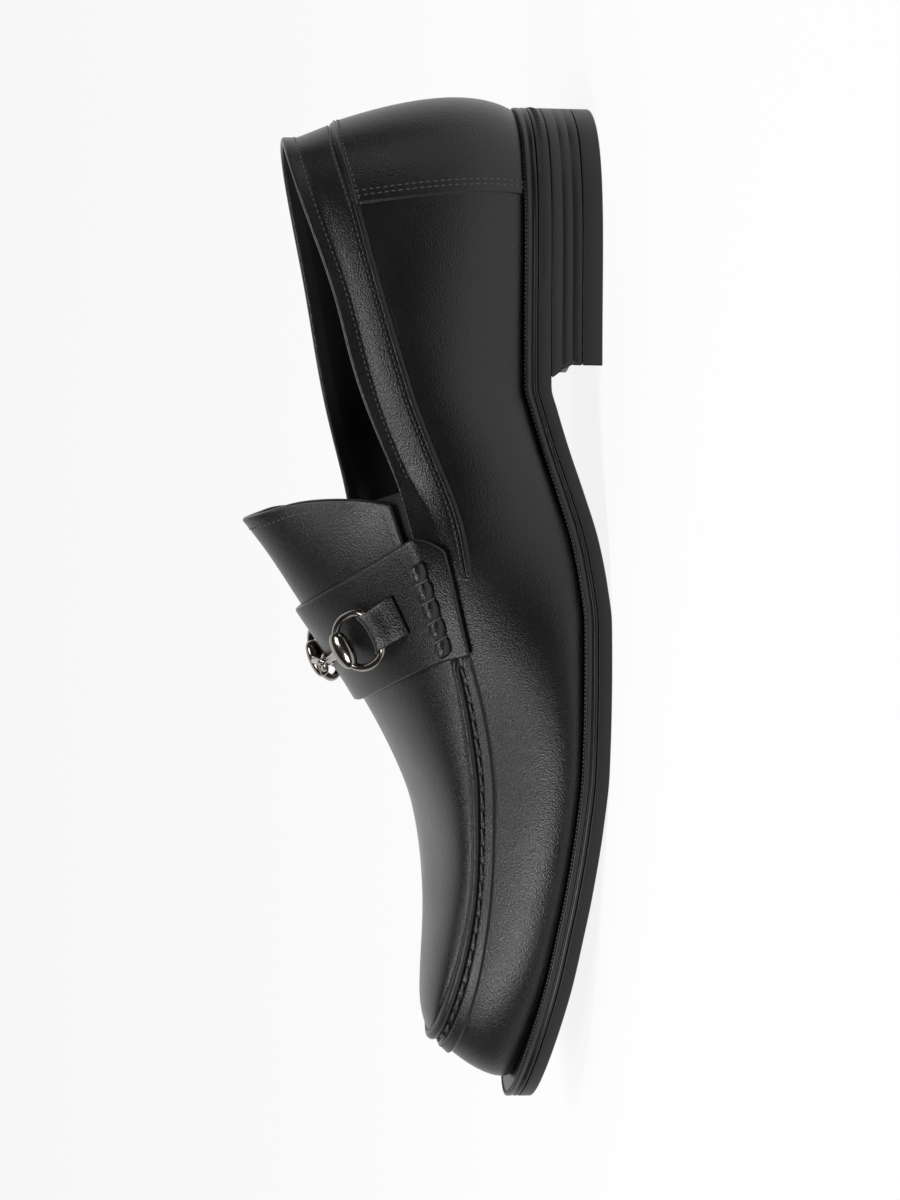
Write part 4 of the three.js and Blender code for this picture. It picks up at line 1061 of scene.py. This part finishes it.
def rounded(lower, upper_round, thickness, grooves=()):
    """Edge profile from bottom to top with rounded corners and grooves (share, depth, width)."""
    rows = [(lower * (1 - math.sin(a)), lower / thickness * (1 - math.cos(a)))
            for a in np.linspace(0, math.pi / 2, 6)]
    for share, depth, width in grooves:
        w = width / thickness / 2
        rows += [(0, share - w), (depth * 0.55, share - w * 0.55), (depth, share),
                 (depth * 0.55, share + w * 0.55), (0, share + w)]
    rows += [(upper_round * (1 - math.cos(a)), 1 - upper_round / thickness * (1 - math.sin(a)))
             for a in np.linspace(0, math.pi / 2, 6)]
    return rows


outsole = sole_layer("outsole_rubber", rounded(0.6, 0.35, 4.3), underside,
                     lambda x: underside(x) + OUTSOLE_THICKNESS + 0.05, sole_rubber)
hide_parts("outsole")
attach(outsole, "root")
welt = sole_layer("welt_strip", rounded(0.35, 0.45, WELT_THICKNESS, [(0.42, 0.7, 1.0)]),
                  welt_bottom, lambda x: welt_bottom(x) + WELT_THICKNESS, welt_leather)
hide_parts("welt")
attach(welt, "root")
INSOLE_CUP = 0.14
INSOLE_THICKNESS = 3.6
insole_board = sole_layer(
    "insole_sock", [(lambda u: welt_show(u) + UPPER_THICKNESS + 0.3, 0.0),
                    (lambda u: welt_show(u) + UPPER_THICKNESS + 0.3, 0.5),
                    (lambda u: welt_show(u) + UPPER_THICKNESS + 0.5 - INSOLE_CUP * HALF_WIDTH * low_share(u), 1.0)],
    seat, lambda x: seat(x) + INSOLE_THICKNESS, lining)
bead_u = np.linspace(0, RIBS, 900, endpoint=False)
bead = outline(bead_u, np.minimum(1.15, welt_show(bead_u) * 0.55))
bead_line = stack(bead[:, 0], bead[:, 1], welt_bottom(bead[:, 0]) + WELT_THICKNESS + 0.05)
upward = np.repeat([[0.0, 0.0, 1.0]], len(bead_line), 0)
sewn("welt_stitches", "welt", [(bead_line, upward)],
     pitch=1.25, length=1.1, width=0.75, height=0.6)
rib_u = np.concatenate([np.linspace(RIBS - 2.85, RIBS, 200), np.linspace(0, 2.85, 200)[1:]])
rib_edge = sole_edge(rib_u)
rib_line = stack(rib_edge[:, 0], rib_edge[:, 1], underside(rib_edge[:, 0]) + 2.3)
rib_out = outward(rib_u)
sewn("heel_band_ribs", "outsole",
     [(rib_line, stack(rib_out[:, 0], rib_out[:, 1], 0 * rib_out[:, 0]))],
     pitch=0.95, length=0.55, width=2.2, height=0.5, material=sole_rubber)
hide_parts("insole")
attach(insole_board, "root")


# The heel: a moulded block with faint layers, over a rubber top lift
HEEL_LENGTH = 79.5
TOP_LIFT = 5.9
BREAST_HOLLOW = 5.0
BREAST_FLARE = 6.0


def heel_layer(name, profile, z_low, z_high, material):
    """A layer of the heel. profile gives (inset, height share, extra length)."""
    def stop(length, sign):
        a = 0.0 if sign > 0 else float(RIBS)
        b = a + sign * 6
        for _ in range(40):
            m = (a + b) / 2
            if sole_edge(m)[0] < length:
                a = m
            else:
                b = m
        return a
    count = 60
    across_count = 16
    levels = []
    for inset, share, extra in profile:
        z = z_low + (z_high - z_low) * share
        length = HEEL_LENGTH + extra - inset
        outer_stop = stop(length, 1)
        inner_stop = stop(length, -1)
        t = np.linspace(0, 1, count + 1)
        a = outline(outer_stop * t, np.full(count + 1, float(inset)))
        b = outline(RIBS + (inner_stop - RIBS) * t, np.full(count + 1, float(inset)))
        w = np.linspace(0, 1, across_count + 1)
        hollow = BREAST_HOLLOW * t[:, None] ** 3 * (1 - (2 * w[None, :] - 1) ** 2)
        x = a[:, :1] + (b[:, :1] - a[:, :1]) * w - hollow
        y = a[:, 1:] + (b[:, 1:] - a[:, 1:]) * w
        levels.append(stack(x, y, z))
    levels = np.array(levels)
    m = across_count + 1
    grid = np.arange((count + 1) * m).reshape(count + 1, m)
    loop = np.concatenate([grid[:, 0], grid[-1, 1:], grid[:-1, -1][::-1][:-1]])
    size = grid.size
    faces = []
    for k in range(len(levels) - 1):
        one = loop + k * size
        two = loop + (k + 1) * size
        faces += np.stack([one, np.roll(one, -1), np.roll(two, -1), two], -1).tolist()
    for k in (0, len(levels) - 1):
        faces += quads(count + 1, m, start=k * size).tolist()
    points = levels.reshape(-1, 3)
    used = sorted({i for f in faces for i in f})
    back_to = {old: new for new, old in enumerate(used)}
    return make_mesh(name, points[used], [[back_to[i] for i in f] for f in faces], [material])


def heel_profile(thickness, grooves, flare):
    return [(i, h, flare(h)) for i, h in rounded(0.5, 0.3, thickness, grooves)]


lift = heel_layer("heel_top_lift_rubber", heel_profile(TOP_LIFT, [], lambda h: 0.0), 0.0,
                  TOP_LIFT + 0.1, sole_rubber)
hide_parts("heel_top_lift")
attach(lift, "root")
block_height = HEEL_RISE - GAP - TOP_LIFT - GAP
block = heel_layer(
    "heel_block", heel_profile(block_height, [(0.33, 0.12, 0.5), (0.66, 0.12, 0.5)],
                               lambda h: BREAST_FLARE * 0.62 * float(smooth_step((h - 0.4) / 0.6))),
    TOP_LIFT + GAP - 0.05, HEEL_RISE - 0.05, sole_rubber)
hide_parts("heel")
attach(block, "root")


# Floor, light and camera: a pale studio whose paper glows evenly, the camera at the photo's
# angle to the shoe's outer side, rolled so that the toe points down in the picture
def pale(name, value):
    material = bpy.data.materials.new(name)
    material.use_nodes = True
    shader = material.node_tree.nodes["Principled BSDF"]
    shader.inputs["Base Color"].default_value = (value, value, value, 1)
    shader.inputs["Roughness"].default_value = 0.9
    return material


floor_mesh = bpy.data.meshes.new("floor")
sweep = [(4.0, 0.0), (0.8, 0.0), (-1.2, 0.0), (-1.5, 0.05), (-1.7, 0.2), (-1.8, 0.5), (-1.8, 4.0)]
points = [(x, y, z) for y, z in sweep for x in (-5.0, 5.0)]
floor_mesh.from_pydata(points, [], [
    (2 * i, 2 * i + 1, 2 * i + 3, 2 * i + 2) for i in range(len(sweep) - 1)])
paper = pale("paper", 0.12)
paper_shader = paper.node_tree.nodes["Principled BSDF"]
paper_shader.inputs["Emission Color"].default_value = (1, 1, 1, 1)
paper_shader.inputs["Emission Strength"].default_value = 0.88
paper_shader.inputs["Specular IOR Level"].default_value = 0.0
floor_mesh.materials.append(paper)
# Painted shade: the strip of floor nearest the camera is dark and does not glow. It stands in for the shade on the
# camera's side, so the shoe's lower wall reflects darkness there.
floor_mesh.materials.append(pale("near_floor_painted_shade", 0.04))
floor_mesh.polygons[0].material_index = 1
for polygon in floor_mesh.polygons:
    polygon.use_smooth = True
floor = bpy.data.objects.new("floor", floor_mesh)
bpy.context.scene.collection.objects.link(floor)

world = bpy.data.worlds.new("studio")
bpy.context.scene.world = world
world.use_nodes = True
world.node_tree.nodes["Background"].inputs["Color"].default_value = (1, 1, 1, 1)
world.node_tree.nodes["Background"].inputs["Strength"].default_value = 0.03


def area_light(name, spot, target, size, size_y, power):
    data = bpy.data.lights.new(name, "AREA")
    data.shape = "RECTANGLE"
    data.size = size
    data.size_y = size_y
    data.energy = power
    light = bpy.data.objects.new(name, data)
    bpy.context.scene.collection.objects.link(light)
    light.location = spot
    way = Vector(target) - Vector(spot)
    light.rotation_euler = way.to_track_quat("-Z", "Y").to_euler()
    return light


area_light("toe_softbox", (0.75, 0.7, 0.75), (0.05, 0, 0.04), 0.45, 0.4, 7.0)
area_light("over_softbox", (-0.05, 0.4, 1.15), (-0.05, 0, 0.05), 0.5, 0.4, 5.5)
area_light("heel_window", (-0.95, 0.45, 0.35), (-0.05, 0, 0.05), 0.35, 0.35, 0.7)

camera_data = bpy.data.cameras.new("camera")
camera = bpy.data.objects.new("camera", camera_data)
bpy.context.scene.collection.objects.link(camera)
bpy.context.scene.camera = camera
DISTANCE = 1.7107
SCALE = 3.3
ELEVATION = -8.5
YAW = -0.38
ROLL = 0.63
aim = Vector((0.0009, -0.0043, 0.040))
turn_to = Matrix.Rotation(math.radians(ELEVATION), 3, "X") \
    @ Matrix.Rotation(math.radians(YAW), 3, "Z")
turn_back = turn_to.transposed()
c, s = math.cos(math.radians(ROLL)), math.sin(math.radians(ROLL))
right_way = turn_back @ Vector((-s, 0, -c))
down_way = turn_back @ Vector((c, 0, -s))
back_way = turn_back @ Vector((0, 1, 0))
camera.location = aim + back_way * DISTANCE
camera.rotation_mode = "QUATERNION"
camera.rotation_quaternion = Matrix((right_way, -down_way, back_way)).transposed().to_quaternion()
camera_data.sensor_width = 36
camera_data.lens = SCALE * DISTANCE * 1000 / 1200 * 36
camera_data.clip_start = 0.05
camera_data.clip_end = 20
bpy.context.scene.view_settings.view_transform = "Standard"
